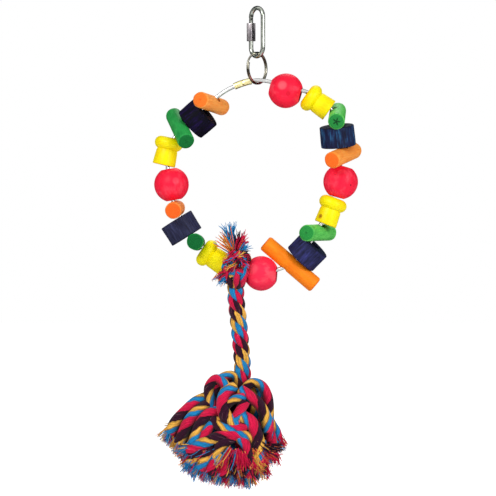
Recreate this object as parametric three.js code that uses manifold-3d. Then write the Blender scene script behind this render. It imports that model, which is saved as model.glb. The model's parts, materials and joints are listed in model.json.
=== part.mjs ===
// Parrot cartwheel toy: a wire hoop strung with dyed wooden pieces, hung from a quick link and a
// split ring, with a knotted cotton rope and its tassel below.
// Millimetres, +Z up, X to the right and Y away from the viewer. The origin is the inside top of the
// quick link's bow, where the toy hangs.
import * as THREE from "three";
import { mergeVertices } from "three/addons/utils/BufferGeometryUtils.js";
import Module from "manifold-3d";

const wasm = await Module();
wasm.setup();

// Shared fit
const seatGap = 0.3;
const runningGap = 0.3;
const threadGap = 0.35;

// Quick link
const linkHeight = 43.8;
const linkWidth = 18.5;
const linkWire = 3.7;
const linkTurn = -49;
const threadPitch = 1;
const threadDepth = 0.3;
const threadShown = 6;
const nutLength = 15;
const nutAcrossFlats = 7;
const nutChamfer = 0.7;
const nutTurn = 5;
const linkOpening = 3.8;

// Split ring
const ringDiameter = 27.4;
const ringBand = 1.7;
const ringTurnThickness = 0.9;
const ringTurnGap = 0.35;
const ringTurn = 54;
const ringJog = 60;

// Hoop: bends as shares of its mean radius at equal angles, counter-clockwise from straight up. The
// bare wire is what shows between the strung pieces and beside the split ring.
const hoopWire = 3.2;
const hoopCentreX = -2.5;
const bareWire = 47;
const hoopBends = [
  1.0419, 0.9850, 0.9241, 0.9400, 0.9717, 0.9479, 0.9320,
  0.9373, 0.9678, 0.9903, 1.0565, 1.0671, 0.9929, 0.9161,
  0.8791, 0.9108, 1.0141, 1.1121, 1.0988, 1.0379,
];

// Crimp ferrule
const ferruleDiameter = 5.6;
const ferruleWall = 0.85;
const ferruleLength = 15;
const ferruleFromPeak = 4.6;
const crimpWidth = 1.5;
const crimpDepth = 0.45;
const crimpSpacing = 3.3;
const wireEndGap = 0.5;

// Wooden pieces
const dowelDiameter = 13.9;
const dowelLength = 55;
const dowelHole = 6.4;
const dowelEdge = 2.2;
const drumDiameter = 29;
const drumLength = 17.1;
const drumBore = 11.5;
const drumEdge = 0.5;
const spoolLength = 23.4;
const spoolFlangeDiameter = 23.6;
const spoolFlangeThickness = 10.5;
const spoolNeckDiameter = 17.3;
const spoolBarrelDiameter = 19;
const spoolBore = 10.5;
const spoolEdge = 0.4;
const ballDiameter = 29;
const ballBore = 12;
const wireBeforeFirst = 17;
const wireAtLastBall = 1.2;
const layStep = 0.05;

// Rope
const ropeDiameter = 14.4;
const knotWidth = 13.4;
const knotDiameter = 28;
const knotDrop = 14.8;
const knotClearance = 0.8;
const tuftEnds = [
  { lean: -27, deep: -5, length: 27, width: 9 },
  { lean: -12, deep: 2, length: 34, width: 6.5 },
  { lean: 14, deep: -3, length: 28, width: 9 },
  { lean: 36, deep: 4, length: 22, width: 7 },
];
const ropeRoute = [
  [0, 0, 0],
  [0, 0, -9],
  [3, -0.8, -38],
  [5.4, -1, -66],
  [5.6, -0.8, -80],
  [5.6, -0.8, -89.2],
];

// Bottom knot and tassel: each strand's radius, whether its end is frayed, and its route from the
// knot's middle
const tasselOffset = 8.3;
const tasselDrop = 20.2;
const frayLength = 10;
const frayFlare = 1.3;
const tasselStrands = [
  [5.2, false, [[6.6, -3, 25.4], [0.4, -4, 33.9], [-6.3, -7, 33.5], [-12.6, -9, 26.9], [-17.2, -9, 17.1],
    [-22.4, -9, 8.8]]],
  [5.3, false, [[-2.7, -13, 19.2], [-7.4, -15, 28.5], [-13.6, -14, 31.8], [-19.1, -13, 25.4],
    [-18.1, -12, 15], [-14.1, -10, 4.6]]],
  [5.6, false, [[-15.2, 1, 29.5], [-6.9, 0, 24.4], [0.4, 0, 20.2], [6.6, 0, 10.9]]],
  [6.6, false, [[1.4, -14, 25.4], [-5.8, -18, 20.2], [-8.4, -20, 10.9], [-4.8, -20, 0.5],
    [3.5, -18, -5.7]]],
  [5.4, false, [[-17.2, -15, 2.6], [-14.1, -19, -4.7], [-3.7, -21, -8.8], [8.7, -20, -7.3],
    [17, -16, -0.5]]],
  [4.4, false, [[-4.8, -19, 9.8], [1.4, -22, 15.2], [9.7, -20, 17.9]]],
  [5.4, false, [[0.4, -18, -3.7], [5.6, -21, 5.2], [10.3, -20, 14]]],
  [5.3, false, [[8.2, -10, 20.7], [16, -10, 28.5], [23.7, -9, 26.4], [28.4, -9, 18.1], [30, -8, 6.7],
    [30, -8, -6.8], [30.5, -6, -19.2]]],
  [6, false, [[6.6, -15, 22.8], [13.9, -18, 17.9], [21.7, -18, 11.4], [26.9, -16, 1.5],
    [29.5, -13, -10.9]]],
  [6, false, [[8.7, 1, 25.4], [17, 0, 21.2], [23.2, 0, 10.9], [26.3, 0, -4.7], [27.4, 0, -17.1]]],
  [6.8, false, [[7.7, -18, 1.5], [15.4, -20, -3.7], [20.1, -20, -14], [22.2, -19, -25.4],
    [22.7, -16, -35.8]]],
  [6.4, true, [[-21.4, -6, 16.1], [-30.7, -8, 11.9], [-40.1, -9, 3.6], [-46.8, -9, -4.7],
    [-51, -8, -13.5]]],
  [6.2, true, [[-16.2, -10, 12.9], [-25.5, -13, 7.8], [-33.8, -14, -0.5], [-39.5, -14, -10.9],
    [-43.7, -12, -21.3]]],
  [5.8, true, [[-12, -14, 5.7], [-20.3, -17, 2.6], [-27.1, -18, -5.7], [-30.2, -17, -15.1],
    [-32.8, -15, -24.4]]],
  [5.4, false, [[-10, -15, -1.6], [-17.8, -18, -5.7], [-21.9, -19, -13], [-24.5, -18, -21.3]]],
  [5.8, true, [[17, -17, -17.1], [6.6, -21, -13.5], [-4.8, -22, -13.5], [-16.2, -22, -17.1],
    [-27.6, -21, -22.3], [-36.4, -18, -27.5]]],
  [5.6, false, [[1.4, -21, -16.1], [-7.9, -23, -20.3], [-12, -23, -27.5], [-13.1, -21, -36.9]]],
  [5.4, false, [[5.6, -20, -16.1], [11.3, -22, -22.3], [13.4, -21, -31.7], [13.4, -18, -43.1]]],
  [6, true, [[-21.4, -19, -23.4], [-29.7, -19, -30.6], [-34.9, -17, -36.9]]],
  [6, true, [[-16.2, -21, -25.4], [-22.4, -20, -33.7], [-26.6, -18, -42]]],
  [5.8, true, [[-10, -22, -27.5], [-15.2, -21, -36.9], [-18.3, -18, -45.2]]],
  [5.8, true, [[-3.7, -22, -27.5], [-4.8, -21, -37.9], [-7.9, -18, -47.2]]],
  [5.6, true, [[2.5, -21, -26.5], [5.6, -20, -36.9], [2.5, -17, -47.2]]],
  [5.6, true, [[8.7, -20, -27.5], [12.9, -19, -38.9], [13.4, -16, -48.3]]],
  [5.6, true, [[23.2, -15, -19.2], [25.3, -14, -30.6], [24.3, -12, -41]]],
  [5.4, true, [[29.5, -7, -8.8], [32.6, -6, -19.2], [32, -5, -30.6]]],
  [5.2, true, [[30.5, -4, -2.6], [35.2, -3, -10.9], [37.8, -2, -19.2]]],
  [6.2, true, [[-7.5, 10, 13.6], [-22, 16, -0.3], [-37.8, 11, -6.1], [-46.9, 7, -12.4]]],
  [6.2, true, [[-7.1, 10, 13.6], [-20.6, 18.3, -2.7], [-35.3, 13.3, -12.2], [-43.7, 9.3, -20.5]]],
  [6.2, true, [[-6.5, 10, 13.6], [-18.5, 20.5, -5], [-31.6, 15.5, -17.8], [-39.1, 11.5, -27.9]]],
  [6.2, true, [[-5.7, 10, 13.6], [-15.9, 22.4, -6.9], [-26.9, 17.4, -22.6], [-33.1, 13.4, -34.3]]],
  [6.2, true, [[-4.8, 10, 13.6], [-12.7, 23.8, -8.4], [-21.3, 18.8, -26.5], [-26.1, 14.8, -39.5]]],
  [6.2, true, [[-3.8, 10, 13.6], [-9.2, 24.7, -9.6], [-15, 19.7, -29.4], [-18.3, 15.7, -43.4]]],
  [6.2, true, [[-2.7, 10, 13.6], [-5.4, 25, -10.3], [-8.2, 20, -31.1], [-9.9, 16, -45.7]]],
  [6.2, true, [[-1.6, 10, 13.6], [-1.5, 24.7, -10.5], [-1.3, 19.7, -31.5], [-1.2, 15.7, -46.3]]],
  [6.2, true, [[-0.5, 10, 13.6], [2.2, 23.8, -9.5], [5.3, 18.8, -29.2], [7.1, 14.8, -43.2]]],
  [6.2, true, [[0.5, 10, 13.6], [5.5, 22.4, -8.2], [11, 17.4, -26], [14.2, 13.4, -38.8]]],
  [6.2, true, [[1.5, 10, 13.6], [8.1, 20.5, -6.6], [15.8, 15.5, -22], [20.2, 11.5, -33.5]]],
  [6.2, true, [[2.4, 10, 13.6], [10.3, 18.3, -4.9], [19.6, 13.3, -17.5], [24.9, 9.3, -27.6]]],
  [6.2, true, [[3.2, 10, 13.6], [11.9, 16, -3], [22.4, 11, -12.8], [28.5, 7, -21.3]]],
  [6, false, [[-13.7, 9, -2.4], [-11.7, 15, 13.6], [0.3, 17, 19.6], [10.3, 15, 11.6], [10.3, 10, -4.4]]],
  [6, false, [[12.3, 12, 17.6], [0.3, 18, 5.6], [-11.7, 17, -4.4], [-21.7, 13, -8.4]]],
  [14, false, [[0.3, -1, 21.6], [-3.7, 0, 3.6], [-6.7, 0, -14.4]]],
  [12, false, [[-25.7, 0, -18.4], [-7.7, 0, -24.4], [12.3, 0, -22.4]]],
];

const away = new THREE.Vector3(0, 1, 0);
const degrees = THREE.MathUtils.degToRad;
const vector = (x, y, z) => new THREE.Vector3(x, y, z);

const toy = new THREE.Group();
const linkGroup = new THREE.Group();
const ringGroup = new THREE.Group();
const hoopGroup = new THREE.Group();
const ropeGroup = new THREE.Group();
toy.add(linkGroup, ringGroup);
ringGroup.add(hoopGroup);
hoopGroup.add(ropeGroup);

// Solids: geometry in, manifold for cuts and joins, geometry out
function solidFrom(geometry) {
  const bare = geometry.clone();
  bare.deleteAttribute("normal");
  bare.deleteAttribute("uv");
  const merged = mergeVertices(bare, 1e-4);
  const triVerts = new Uint32Array(merged.index.array);
  const mesh = new wasm.Mesh({
    numProp: 3,
    vertProperties: new Float32Array(merged.attributes.position.array),
    triVerts,
  });
  const solid = new wasm.Manifold(mesh);
  if (solid.volume() >= 0) return solid;
  for (let i = 0; i < triVerts.length; i += 3) {
    [triVerts[i + 1], triVerts[i + 2]] = [triVerts[i + 2], triVerts[i + 1]];
  }
  return new wasm.Manifold(
    new wasm.Mesh({
      numProp: 3,
      vertProperties: new Float32Array(merged.attributes.position.array),
      triVerts,
    }),
  );
}

function geometryOf(solid) {
  const mesh = solid.getMesh();
  const position = new Float32Array(mesh.numVert * 3);
  for (let i = 0; i < mesh.numVert; i++) {
    for (let k = 0; k < 3; k++) {
      position[3 * i + k] = mesh.vertProperties[mesh.numProp * i + k];
    }
  }
  const geometry = new THREE.BufferGeometry();
  geometry.setAttribute("position", new THREE.BufferAttribute(position, 3));
  geometry.setIndex(new THREE.BufferAttribute(new Uint32Array(mesh.triVerts), 1));
  const flat = geometry.toNonIndexed();
  flat.computeVertexNormals();
  return flat;
}

const joined = (solids) => solids.reduce((all, one) => all.add(one));

function addPiece(parent, name, solid, material) {
  const mesh = new THREE.Mesh(geometryOf(solid), material);
  mesh.name = name;
  parent.add(mesh);
  return mesh;
}

// Puts a group at a place in the toy's frame
function putGroup(child, place) {
  child.parent.updateWorldMatrix(true, false);
  child.position.copy(child.parent.worldToLocal(place.clone()));
  child.updateWorldMatrix(false, false);
}

// Puts a mesh whose geometry was made in the toy's frame at a place, and moves the geometry back
function settle(mesh, place) {
  mesh.geometry.translate(-place.x, -place.y, -place.z);
  mesh.position.copy(mesh.parent.worldToLocal(place.clone()));
}

const finish = (color, roughness, metalness = 0) =>
  new THREE.MeshStandardMaterial({ color, roughness, metalness });

// A matrix that stands local Z along an axis, at a place, with local X nearest to a given direction
function stand(place, axis, side = away) {
  const z = axis.clone().normalize();
  let x = side.clone().addScaledVector(z, -side.dot(z));
  if (x.length() < 0.05) {
    x = vector(1, 0, 0).addScaledVector(z, -z.x);
  }
  x.normalize();
  const y = z.clone().cross(x);
  return new THREE.Matrix4().makeBasis(x, y, z).setPosition(place);
}

// [radius, height] points turned about local Z: from axis to axis, or closed into a ring
function turned(profile, segments) {
  const points = profile.map(([radius, height]) => new THREE.Vector2(radius, height));
  if (profile[0][0] > 0) points.push(points[0].clone());
  return new THREE.LatheGeometry(points, segments).rotateX(Math.PI / 2);
}

function rod(radius, length, segments) {
  return new THREE.CylinderGeometry(radius, radius, length, segments).rotateX(Math.PI / 2);
}

function roundShape(radius, sides) {
  const points = [];
  for (let i = 0; i < sides; i++) {
    const angle = (2 * Math.PI * i) / sides;
    points.push(new THREE.Vector2(radius * Math.cos(angle), radius * Math.sin(angle)));
  }
  return new THREE.Shape(points);
}

function tube(path, radius, sides, steps) {
  return new THREE.ExtrudeGeometry(roundShape(radius, sides), {
    steps,
    extrudePath: path,
    curveSegments: sides,
  });
}

const through = (points) => new THREE.CatmullRomCurve3(points, false, "centripetal");

// Bead shapes: outer profile as [height, radius] along the axis of revolution, and the bore
function arcPoints(steps, from, to, make) {
  const points = [];
  for (let i = 0; i <= steps; i++) {
    points.push(make(degrees(from + ((to - from) * i) / steps)));
  }
  return points;
}

function cylinderProfile(diameter, length, edge, edgeSteps) {
  const half = length / 2;
  const radius = diameter / 2;
  const rise = arcPoints(edgeSteps, 0, 90, (a) => [
    -half + edge - edge * Math.cos(a),
    radius - edge + edge * Math.sin(a),
  ]);
  const fall = rise.map(([h, r]) => [-h, r]).reverse();
  return [...rise, ...fall];
}

function ballProfile() {
  const radius = ballDiameter / 2;
  const mouth = THREE.MathUtils.radToDeg(Math.asin(ballBore / ballDiameter));
  return arcPoints(9, mouth, 180 - mouth, (a) => [-radius * Math.cos(a), radius * Math.sin(a)]);
}

function spoolProfile() {
  const half = spoolLength / 2;
  const round = spoolFlangeThickness / 2;
  const inner = spoolFlangeDiameter / 2 - round;
  const neck = spoolNeckDiameter / 2;
  const meet = THREE.MathUtils.radToDeg(Math.acos((neck - inner) / round));
  const flange = arcPoints(7, -90, meet, (a) => [
    -half + round + round * Math.sin(a),
    inner + round * Math.cos(a),
  ]);
  const barrel = spoolBarrelDiameter / 2;
  return [...flange, [half - spoolEdge, barrel], [half, barrel - spoolEdge]];
}

const beadKinds = {
  dowel: {
    profile: cylinderProfile(dowelDiameter, dowelLength, dowelEdge, 2),
    bore: dowelHole,
    along: dowelDiameter,
    crosswise: true,
  },
  drum: {
    profile: cylinderProfile(drumDiameter, drumLength, drumEdge, 1),
    bore: drumBore,
    along: drumLength,
  },
  spool: { profile: spoolProfile(), bore: spoolBore, along: spoolLength },
  ball: { profile: ballProfile(), bore: ballBore, along: ballDiameter * 0.9 },
  knot: {
    profile: cylinderProfile(knotDiameter * 0.8, knotWidth, 1, 1),
    bore: hoopWire + 2 * seatGap,
    along: knotWidth,
  },
};

// Pieces in order from the ferrule's left end. spin turns a dowel about the wire and skew leans it
// along the wire; yaw and tilt lean a bored piece; side says which way the piece hangs in its play,
// 1 towards the hoop's middle; spare is bare wire in front of the piece.
const strung = [
  { name: "orange_dowel_1", kind: "dowel", spin: 15.5, skew: -12, side: 1 },
  { name: "blue_drum_1", kind: "drum", yaw: -11, side: 1 },
  { name: "green_dowel_1", kind: "dowel", spin: -27, skew: -12, side: -1 },
  { name: "yellow_spool_1", kind: "spool", side: -1 },
  { name: "red_ball_1", kind: "ball", side: 0.4 },
  { name: "orange_dowel_2", kind: "dowel", spin: 3, skew: -2, side: -1 },
  { name: "blue_drum_2", kind: "drum", side: -1 },
  { name: "green_dowel_2", kind: "dowel", spin: 0, skew: 1, side: -1 },
  { name: "yellow_spool_2", kind: "spool", tilt: 3, side: -1 },
  { name: "rope_top_knot", kind: "knot", side: 0 },
  { name: "red_ball_2", kind: "ball", yaw: 6, tilt: 3, side: -0.9 },
  { name: "orange_dowel_3", kind: "dowel", spin: -90, skew: 15, side: -0.8 },
  { name: "blue_drum_3", kind: "drum", yaw: 10, tilt: 3, side: -1 },
  { name: "green_dowel_3", kind: "dowel", spin: -19, skew: 11, side: -1 },
  { name: "yellow_spool_3", kind: "spool", flipped: true, side: -1 },
  { name: "red_ball_3", kind: "ball", side: -1 },
  { name: "orange_dowel_4", kind: "dowel", spin: -21, skew: 13, side: -1 },
  { name: "blue_drum_4", kind: "drum", yaw: 10, side: 1 },
  { name: "green_dowel_4", kind: "dowel", spin: -9, skew: 9, side: -1 },
  { name: "yellow_spool_4", kind: "spool", flipped: true, side: 1 },
  { name: "red_ball_4", kind: "ball", yaw: -6, side: 1, spare: wireAtLastBall },
];

// Hoop path, walked by length from the ferrule's left end, counter-clockwise
const linkRadius = linkWire / 2;
const hoopWireRadius = hoopWire / 2;
const linkBottom = linkWire - linkHeight;
const linkBowZ = linkBottom + linkRadius;
const ringTopInside = linkBottom + linkWire + seatGap;
const ringCentreZ = ringTopInside + ringBand - ringDiameter / 2;
const ringBottomInside = ringCentreZ - ringDiameter / 2 + ringBand;
const hoopPeakZ = ringBottomInside + seatGap + hoopWireRadius;
const strungLength = strung.reduce((sum, item) => sum + beadKinds[item.kind].along, 0);
const coveredWire = ferruleFromPeak + ferruleLength + wireBeforeFirst + strungLength;
const hoopRadius = (coveredWire + bareWire) / (2 * Math.PI);
const hoopRadiusTop = hoopRadius * hoopBends[0];
const hoopPeakAngle = Math.acos(-hoopCentreX / hoopRadiusTop);
const hoopCentreZ = hoopPeakZ - hoopRadiusTop * Math.sin(hoopPeakAngle);

const hoopCurve = new THREE.CatmullRomCurve3(
  hoopBends.map((share, i) => {
    const radius = hoopRadius * share;
    const angle = hoopPeakAngle + (2 * Math.PI * i) / hoopBends.length;
    return vector(
      hoopCentreX + radius * Math.cos(angle),
      0,
      hoopCentreZ + radius * Math.sin(angle),
    );
  }),
  true,
  "centripetal",
);
hoopCurve.arcLengthDivisions = 1600;
const hoopLength = hoopCurve.getLength();
const wrap = (length) => (((length % hoopLength) + hoopLength) % hoopLength) / hoopLength;
const hoopPoint = (length) => hoopCurve.getPointAt(wrap(length));

class HoopStretch extends THREE.Curve {
  constructor(start, end) {
    super();
    this.start = start;
    this.end = end;
  }

  getPoint(share) {
    return hoopPoint(this.start + share * (this.end - this.start));
  }
}

const ferruleStart = ferruleFromPeak;
const ferruleEnd = ferruleStart + ferruleLength;
const ferruleMiddle = (ferruleStart + ferruleEnd) / 2;

const hoopMiddle = vector(hoopCentreX, 0, hoopCentreZ);

// Seats a piece on the wire at a length: its axes, and its centre within the play of its bore
function seated(item, length) {
  const kind = beadKinds[item.kind];
  const half = kind.along / 2;
  const before = hoopPoint(length - half);
  const after = hoopPoint(length + half);
  const tangent = after.clone().sub(before).normalize();
  const wirePoint = hoopPoint(length);
  let inward = tangent.clone().cross(away);
  if (inward.dot(hoopMiddle.clone().sub(wirePoint)) < 0) inward = inward.negate();

  const boreAxis = tangent.clone();
  boreAxis.applyAxisAngle(away, degrees(item.tilt ?? 0));
  boreAxis.addScaledVector(away, -Math.tan(degrees(item.yaw ?? 0))).normalize();

  const free = kind.bore / 2 - hoopWireRadius - seatGap;
  let low = -Infinity;
  let high = Infinity;
  for (let i = 0; i <= 16; i++) {
    const offset = hoopPoint(length - half + (kind.along * i) / 16).sub(wirePoint);
    offset.addScaledVector(boreAxis, -offset.dot(boreAxis));
    const across = offset.dot(inward);
    const deep = offset.y;
    const reach = Math.sqrt(Math.max(0, free * free - deep * deep));
    low = Math.max(low, across - reach);
    high = Math.min(high, across + reach);
  }
  const middle = (low + high) / 2;
  const play = high > low ? ((high - low) / 2) * item.side : 0;
  const centre = wirePoint.clone().addScaledVector(inward, middle + play);

  let axis = boreAxis.clone();
  if (kind.crosswise) {
    const spin = degrees(item.spin);
    const skew = degrees(item.skew);
    axis = away
      .clone()
      .multiplyScalar(Math.cos(spin) * Math.cos(skew))
      .addScaledVector(inward, Math.sin(spin) * Math.cos(skew))
      .addScaledVector(tangent, Math.sin(skew));
  }
  if (item.flipped) axis.negate();
  return { ...item, kind, length, centre, axis, boreAxis, tangent, inward, wirePoint };
}

function radiusAt(profile, height) {
  for (let i = 1; i < profile.length; i++) {
    const [h0, r0] = profile[i - 1];
    const [h1, r1] = profile[i];
    if (height >= h0 && height <= h1 && h1 > h0) {
      return r0 + ((r1 - r0) * (height - h0)) / (h1 - h0);
    }
  }
  return height < profile[0][0] ? profile[0][1] : profile[profile.length - 1][1];
}

function surfacePoints(piece) {
  const { profile } = piece.kind;
  const outline = [[profile[0][0], profile[0][1] / 2]];
  profile.forEach(([h, r], i) => {
    const [h0, r0] = profile[Math.max(0, i - 1)];
    const parts = Math.max(1, Math.ceil(Math.hypot(h - h0, r - r0) / 1.5));
    for (let k = 1; k <= parts; k++) {
      outline.push([h0 + ((h - h0) * k) / parts, r0 + ((r - r0) * k) / parts]);
    }
  });
  const [lastHeight, lastRadius] = profile[profile.length - 1];
  outline.push([lastHeight, lastRadius / 2]);
  const frame = stand(piece.centre, piece.axis);
  const points = [];
  for (const [h, r] of outline) {
    for (let i = 0; i < 36; i++) {
      const angle = (2 * Math.PI * i) / 36;
      points.push(vector(r * Math.cos(angle), r * Math.sin(angle), h).applyMatrix4(frame));
    }
  }
  return points;
}

function holdsAny(piece, points, gap) {
  const { profile } = piece.kind;
  const bottom = profile[0][0];
  const top = profile[profile.length - 1][0];
  return points.some((point) => {
    const offset = point.clone().sub(piece.centre);
    const height = offset.dot(piece.axis);
    if (height < bottom - gap || height > top + gap) return false;
    const radius = Math.sqrt(Math.max(0, offset.lengthSq() - height * height));
    return radius < radiusAt(profile, height) + gap;
  });
}

const touching = (a, b) =>
  holdsAny(a, surfacePoints(b), runningGap) || holdsAny(b, surfacePoints(a), runningGap);

// Walks along the wire and seats each piece as soon as it clears the one before
const laid = [];
let reached = ferruleEnd + wireBeforeFirst;
for (const item of strung) {
  const half = beadKinds[item.kind].along / 2;
  const previous = laid[laid.length - 1];
  let length = previous ? reached + half * 0.4 : reached + half;
  let piece = seated(item, length);
  while (previous && touching(previous, piece)) {
    length += layStep;
    piece = seated(item, length);
  }
  if (item.spare) piece = seated(item, length + item.spare);
  laid.push(piece);
  reached = piece.length + half * 0.4;
}
const pieceNamed = (name) => laid.find((piece) => piece.name === name);

// Quick link: one bent wire with threaded ends, open on the left leg under the sleeve nut
const legX = (linkWidth - linkWire) / 2;
const bowTopZ = linkWire - linkRadius - legX;
const bowBottomZ = linkBottom + linkRadius + legX;
const nutTopZ = bowTopZ - threadShown + 1.2;
const nutBottomZ = nutTopZ - nutLength;
const stubTopZ = nutBottomZ + threadShown;
const stubLowerZ = stubTopZ - linkOpening;
linkGroup.rotation.z = degrees(linkTurn);

const bow = (centreZ, from, to) =>
  arcPoints(10, from, to, (a) => vector(legX * Math.cos(a), 0, centreZ + legX * Math.sin(a)));
const linkRoute = through([
  ...bow(bowTopZ, 180, 0),
  ...[0.25, 0.5, 0.75].map((share) =>
    vector(legX, 0, bowTopZ + share * (bowBottomZ - bowTopZ)),
  ),
  ...bow(bowBottomZ, 0, -180),
  vector(-legX, 0, stubLowerZ),
]);
const threadProfile = [[0, bowTopZ + 0.4]];
const threadCount = Math.round((bowTopZ - stubTopZ) / threadPitch);
const threadStep = (bowTopZ - stubTopZ) / threadCount;
threadProfile.push([linkRadius - threadDepth, bowTopZ + 0.4]);
for (let i = 0; i < threadCount; i++) {
  const z = bowTopZ - i * threadStep;
  threadProfile.push([linkRadius - threadDepth, z - threadStep * 0.25]);
  threadProfile.push([linkRadius, z - threadStep * 0.75]);
}
threadProfile.push([linkRadius - threadDepth, stubTopZ]);
threadProfile.push([0, stubTopZ]);
const threadedEnd = turned(threadProfile, 12).translate(-legX, 0, 0);
const link = solidFrom(tube(linkRoute, linkRadius, 12, 44)).add(solidFrom(threadedEnd));
const steel = () => finish(0xb4b6b4, 0.22, 0.95);
addPiece(linkGroup, "quick_link", link, steel());

// Sleeve nut: hexagon with turned chamfers and a clear bore
const nutCorner = nutAcrossFlats / Math.sqrt(3);
const nutBoreRadius = linkRadius + threadGap;
const nutHalf = nutLength / 2;
const hexagon = rod(nutCorner, nutLength, 6).rotateZ(degrees(nutTurn - linkTurn));
const nutTurned = turned(
  [
    [0, -nutHalf],
    [nutCorner - nutChamfer, -nutHalf],
    [nutCorner + 0.05, -nutHalf + nutChamfer * 1.6],
    [nutCorner + 0.05, nutHalf - nutChamfer * 1.6],
    [nutCorner - nutChamfer, nutHalf],
    [0, nutHalf],
  ],
  24,
);
const nut = solidFrom(hexagon)
  .intersect(solidFrom(nutTurned))
  .subtract(solidFrom(rod(nutBoreRadius, nutLength + 2, 16)));
const nutMesh = addPiece(linkGroup, "quick_link_nut", nut, finish(0x8f9496, 0.3, 0.95));
nutMesh.position.set(-legX, 0, (nutTopZ + nutBottomZ) / 2);

// Split ring: two flat turns of one strip, which steps over once where its two ends lie
function splitRing() {
  const outer = ringDiameter / 2;
  const inner = outer - ringBand;
  const pitch = ringTurnThickness + ringTurnGap;
  const from = ringJog / 2;
  const to = 720 - ringJog / 2;
  const steps = 54;
  const position = [];
  const index = [];
  for (let i = 0; i <= steps; i++) {
    const turn = from + ((to - from) * i) / steps;
    const crossing = THREE.MathUtils.clamp((turn - (360 - from)) / ringJog, 0, 1);
    const level = (THREE.MathUtils.smoothstep(crossing, 0, 1) - 0.5) * pitch;
    const angle = degrees(turn + 130);
    for (const [radius, side] of [[inner, -1], [outer, -1], [outer, 1], [inner, 1]]) {
      position.push(
        radius * Math.cos(angle),
        level + (side * ringTurnThickness) / 2,
        radius * Math.sin(angle),
      );
    }
  }
  for (let i = 0; i < steps; i++) {
    for (let k = 0; k < 4; k++) {
      const a = 4 * i + k;
      const b = 4 * i + ((k + 1) % 4);
      index.push(a, b, b + 4, a, b + 4, a + 4);
    }
  }
  const last = 4 * steps;
  index.push(0, 2, 1, 0, 3, 2, last, last + 1, last + 2, last, last + 2, last + 3);
  const geometry = new THREE.BufferGeometry();
  geometry.setAttribute("position", new THREE.Float32BufferAttribute(position, 3));
  geometry.setIndex(index);
  return geometry;
}
putGroup(ringGroup, vector(0, 0, ringCentreZ));
addPiece(ringGroup, "split_ring", solidFrom(splitRing()), steel()).rotation.z = degrees(ringTurn);

// Hoop wire: its two ends butt inside the ferrule
const wireStart = ferruleMiddle + wireEndGap / 2;
const wireFinish = ferruleMiddle - wireEndGap / 2 + hoopLength;
const hoop = tube(new HoopStretch(wireStart, wireFinish), hoopWireRadius, 10, 88);
putGroup(hoopGroup, hoopMiddle);
settle(addPiece(hoopGroup, "hoop_wire", solidFrom(hoop), steel()), hoopMiddle);

// Ferrule: a sleeve that follows the wire, with crimp marks in front and behind
const ferruleShape = roundShape(ferruleDiameter / 2, 14);
ferruleShape.holes.push(new THREE.Path(roundShape(ferruleDiameter / 2 - ferruleWall, 14).getPoints()));
let ferrule = solidFrom(
  new THREE.ExtrudeGeometry(ferruleShape, {
    steps: 6,
    extrudePath: new HoopStretch(ferruleStart, ferruleEnd),
  }),
);
for (const face of [-1, 1]) {
  for (const row of [-0.5, 0.5]) {
    const mark = new THREE.BoxGeometry(crimpWidth, 2 * crimpDepth, crimpWidth);
    mark.applyMatrix4(
      new THREE.Matrix4().setPosition(
        hoopPoint(ferruleMiddle)
          .addScaledVector(away, (face * ferruleDiameter) / 2)
          .add(vector(0, 0, row * (crimpSpacing - crimpWidth))),
      ),
    );
    ferrule = ferrule.subtract(solidFrom(mark));
  }
}
settle(
  addPiece(hoopGroup, "crimp_ferrule", ferrule, finish(0xefe3ae, 0.35, 0.6)),
  hoopPoint(ferruleMiddle),
);

// Wooden pieces
const woods = {
  orange: { color: 0xff8a35, roughness: 0.6 },
  blue: { color: 0x2a2a55, roughness: 0.65 },
  green: { color: 0x2f9a4e, roughness: 0.6 },
  yellow: { color: 0xffe008, roughness: 0.5 },
  red: { color: 0xe32a48, roughness: 0.45 },
};

function wholeProfile({ profile }) {
  const outline = profile.map(([height, radius]) => [radius, height]);
  return [[0, outline[0][1]], ...outline, [0, outline[outline.length - 1][1]]];
}

function boredProfile({ profile, bore }) {
  const outline = profile.map(([height, radius]) => [radius, height]);
  const [firstRadius, low] = outline[0];
  const [lastRadius, high] = outline[outline.length - 1];
  if (firstRadius > bore / 2 + 0.01) outline.unshift([bore / 2, low]);
  if (lastRadius > bore / 2 + 0.01) outline.push([bore / 2, high]);
  return outline;
}

for (const piece of laid) {
  if (piece.kind === beadKinds.knot) continue;
  const facing = new THREE.Quaternion().setFromRotationMatrix(stand(piece.centre, piece.axis));
  let solid;
  if (piece.kind.crosswise) {
    const holeAxis = piece.boreAxis.clone().applyQuaternion(facing.clone().invert());
    const hole = rod(dowelHole / 2, dowelDiameter * 1.6, 12);
    hole.applyMatrix4(stand(vector(0, 0, 0), holeAxis));
    solid = solidFrom(turned(wholeProfile(piece.kind), 18)).subtract(solidFrom(hole));
  } else {
    solid = solidFrom(turned(boredProfile(piece.kind), 20));
  }
  const { color, roughness } = woods[piece.name.split("_")[0]];
  const bead = addPiece(hoopGroup, piece.name, solid, finish(color, roughness));
  bead.position.copy(hoopGroup.worldToLocal(piece.centre.clone()));
  bead.quaternion.copy(facing);
}

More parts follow.
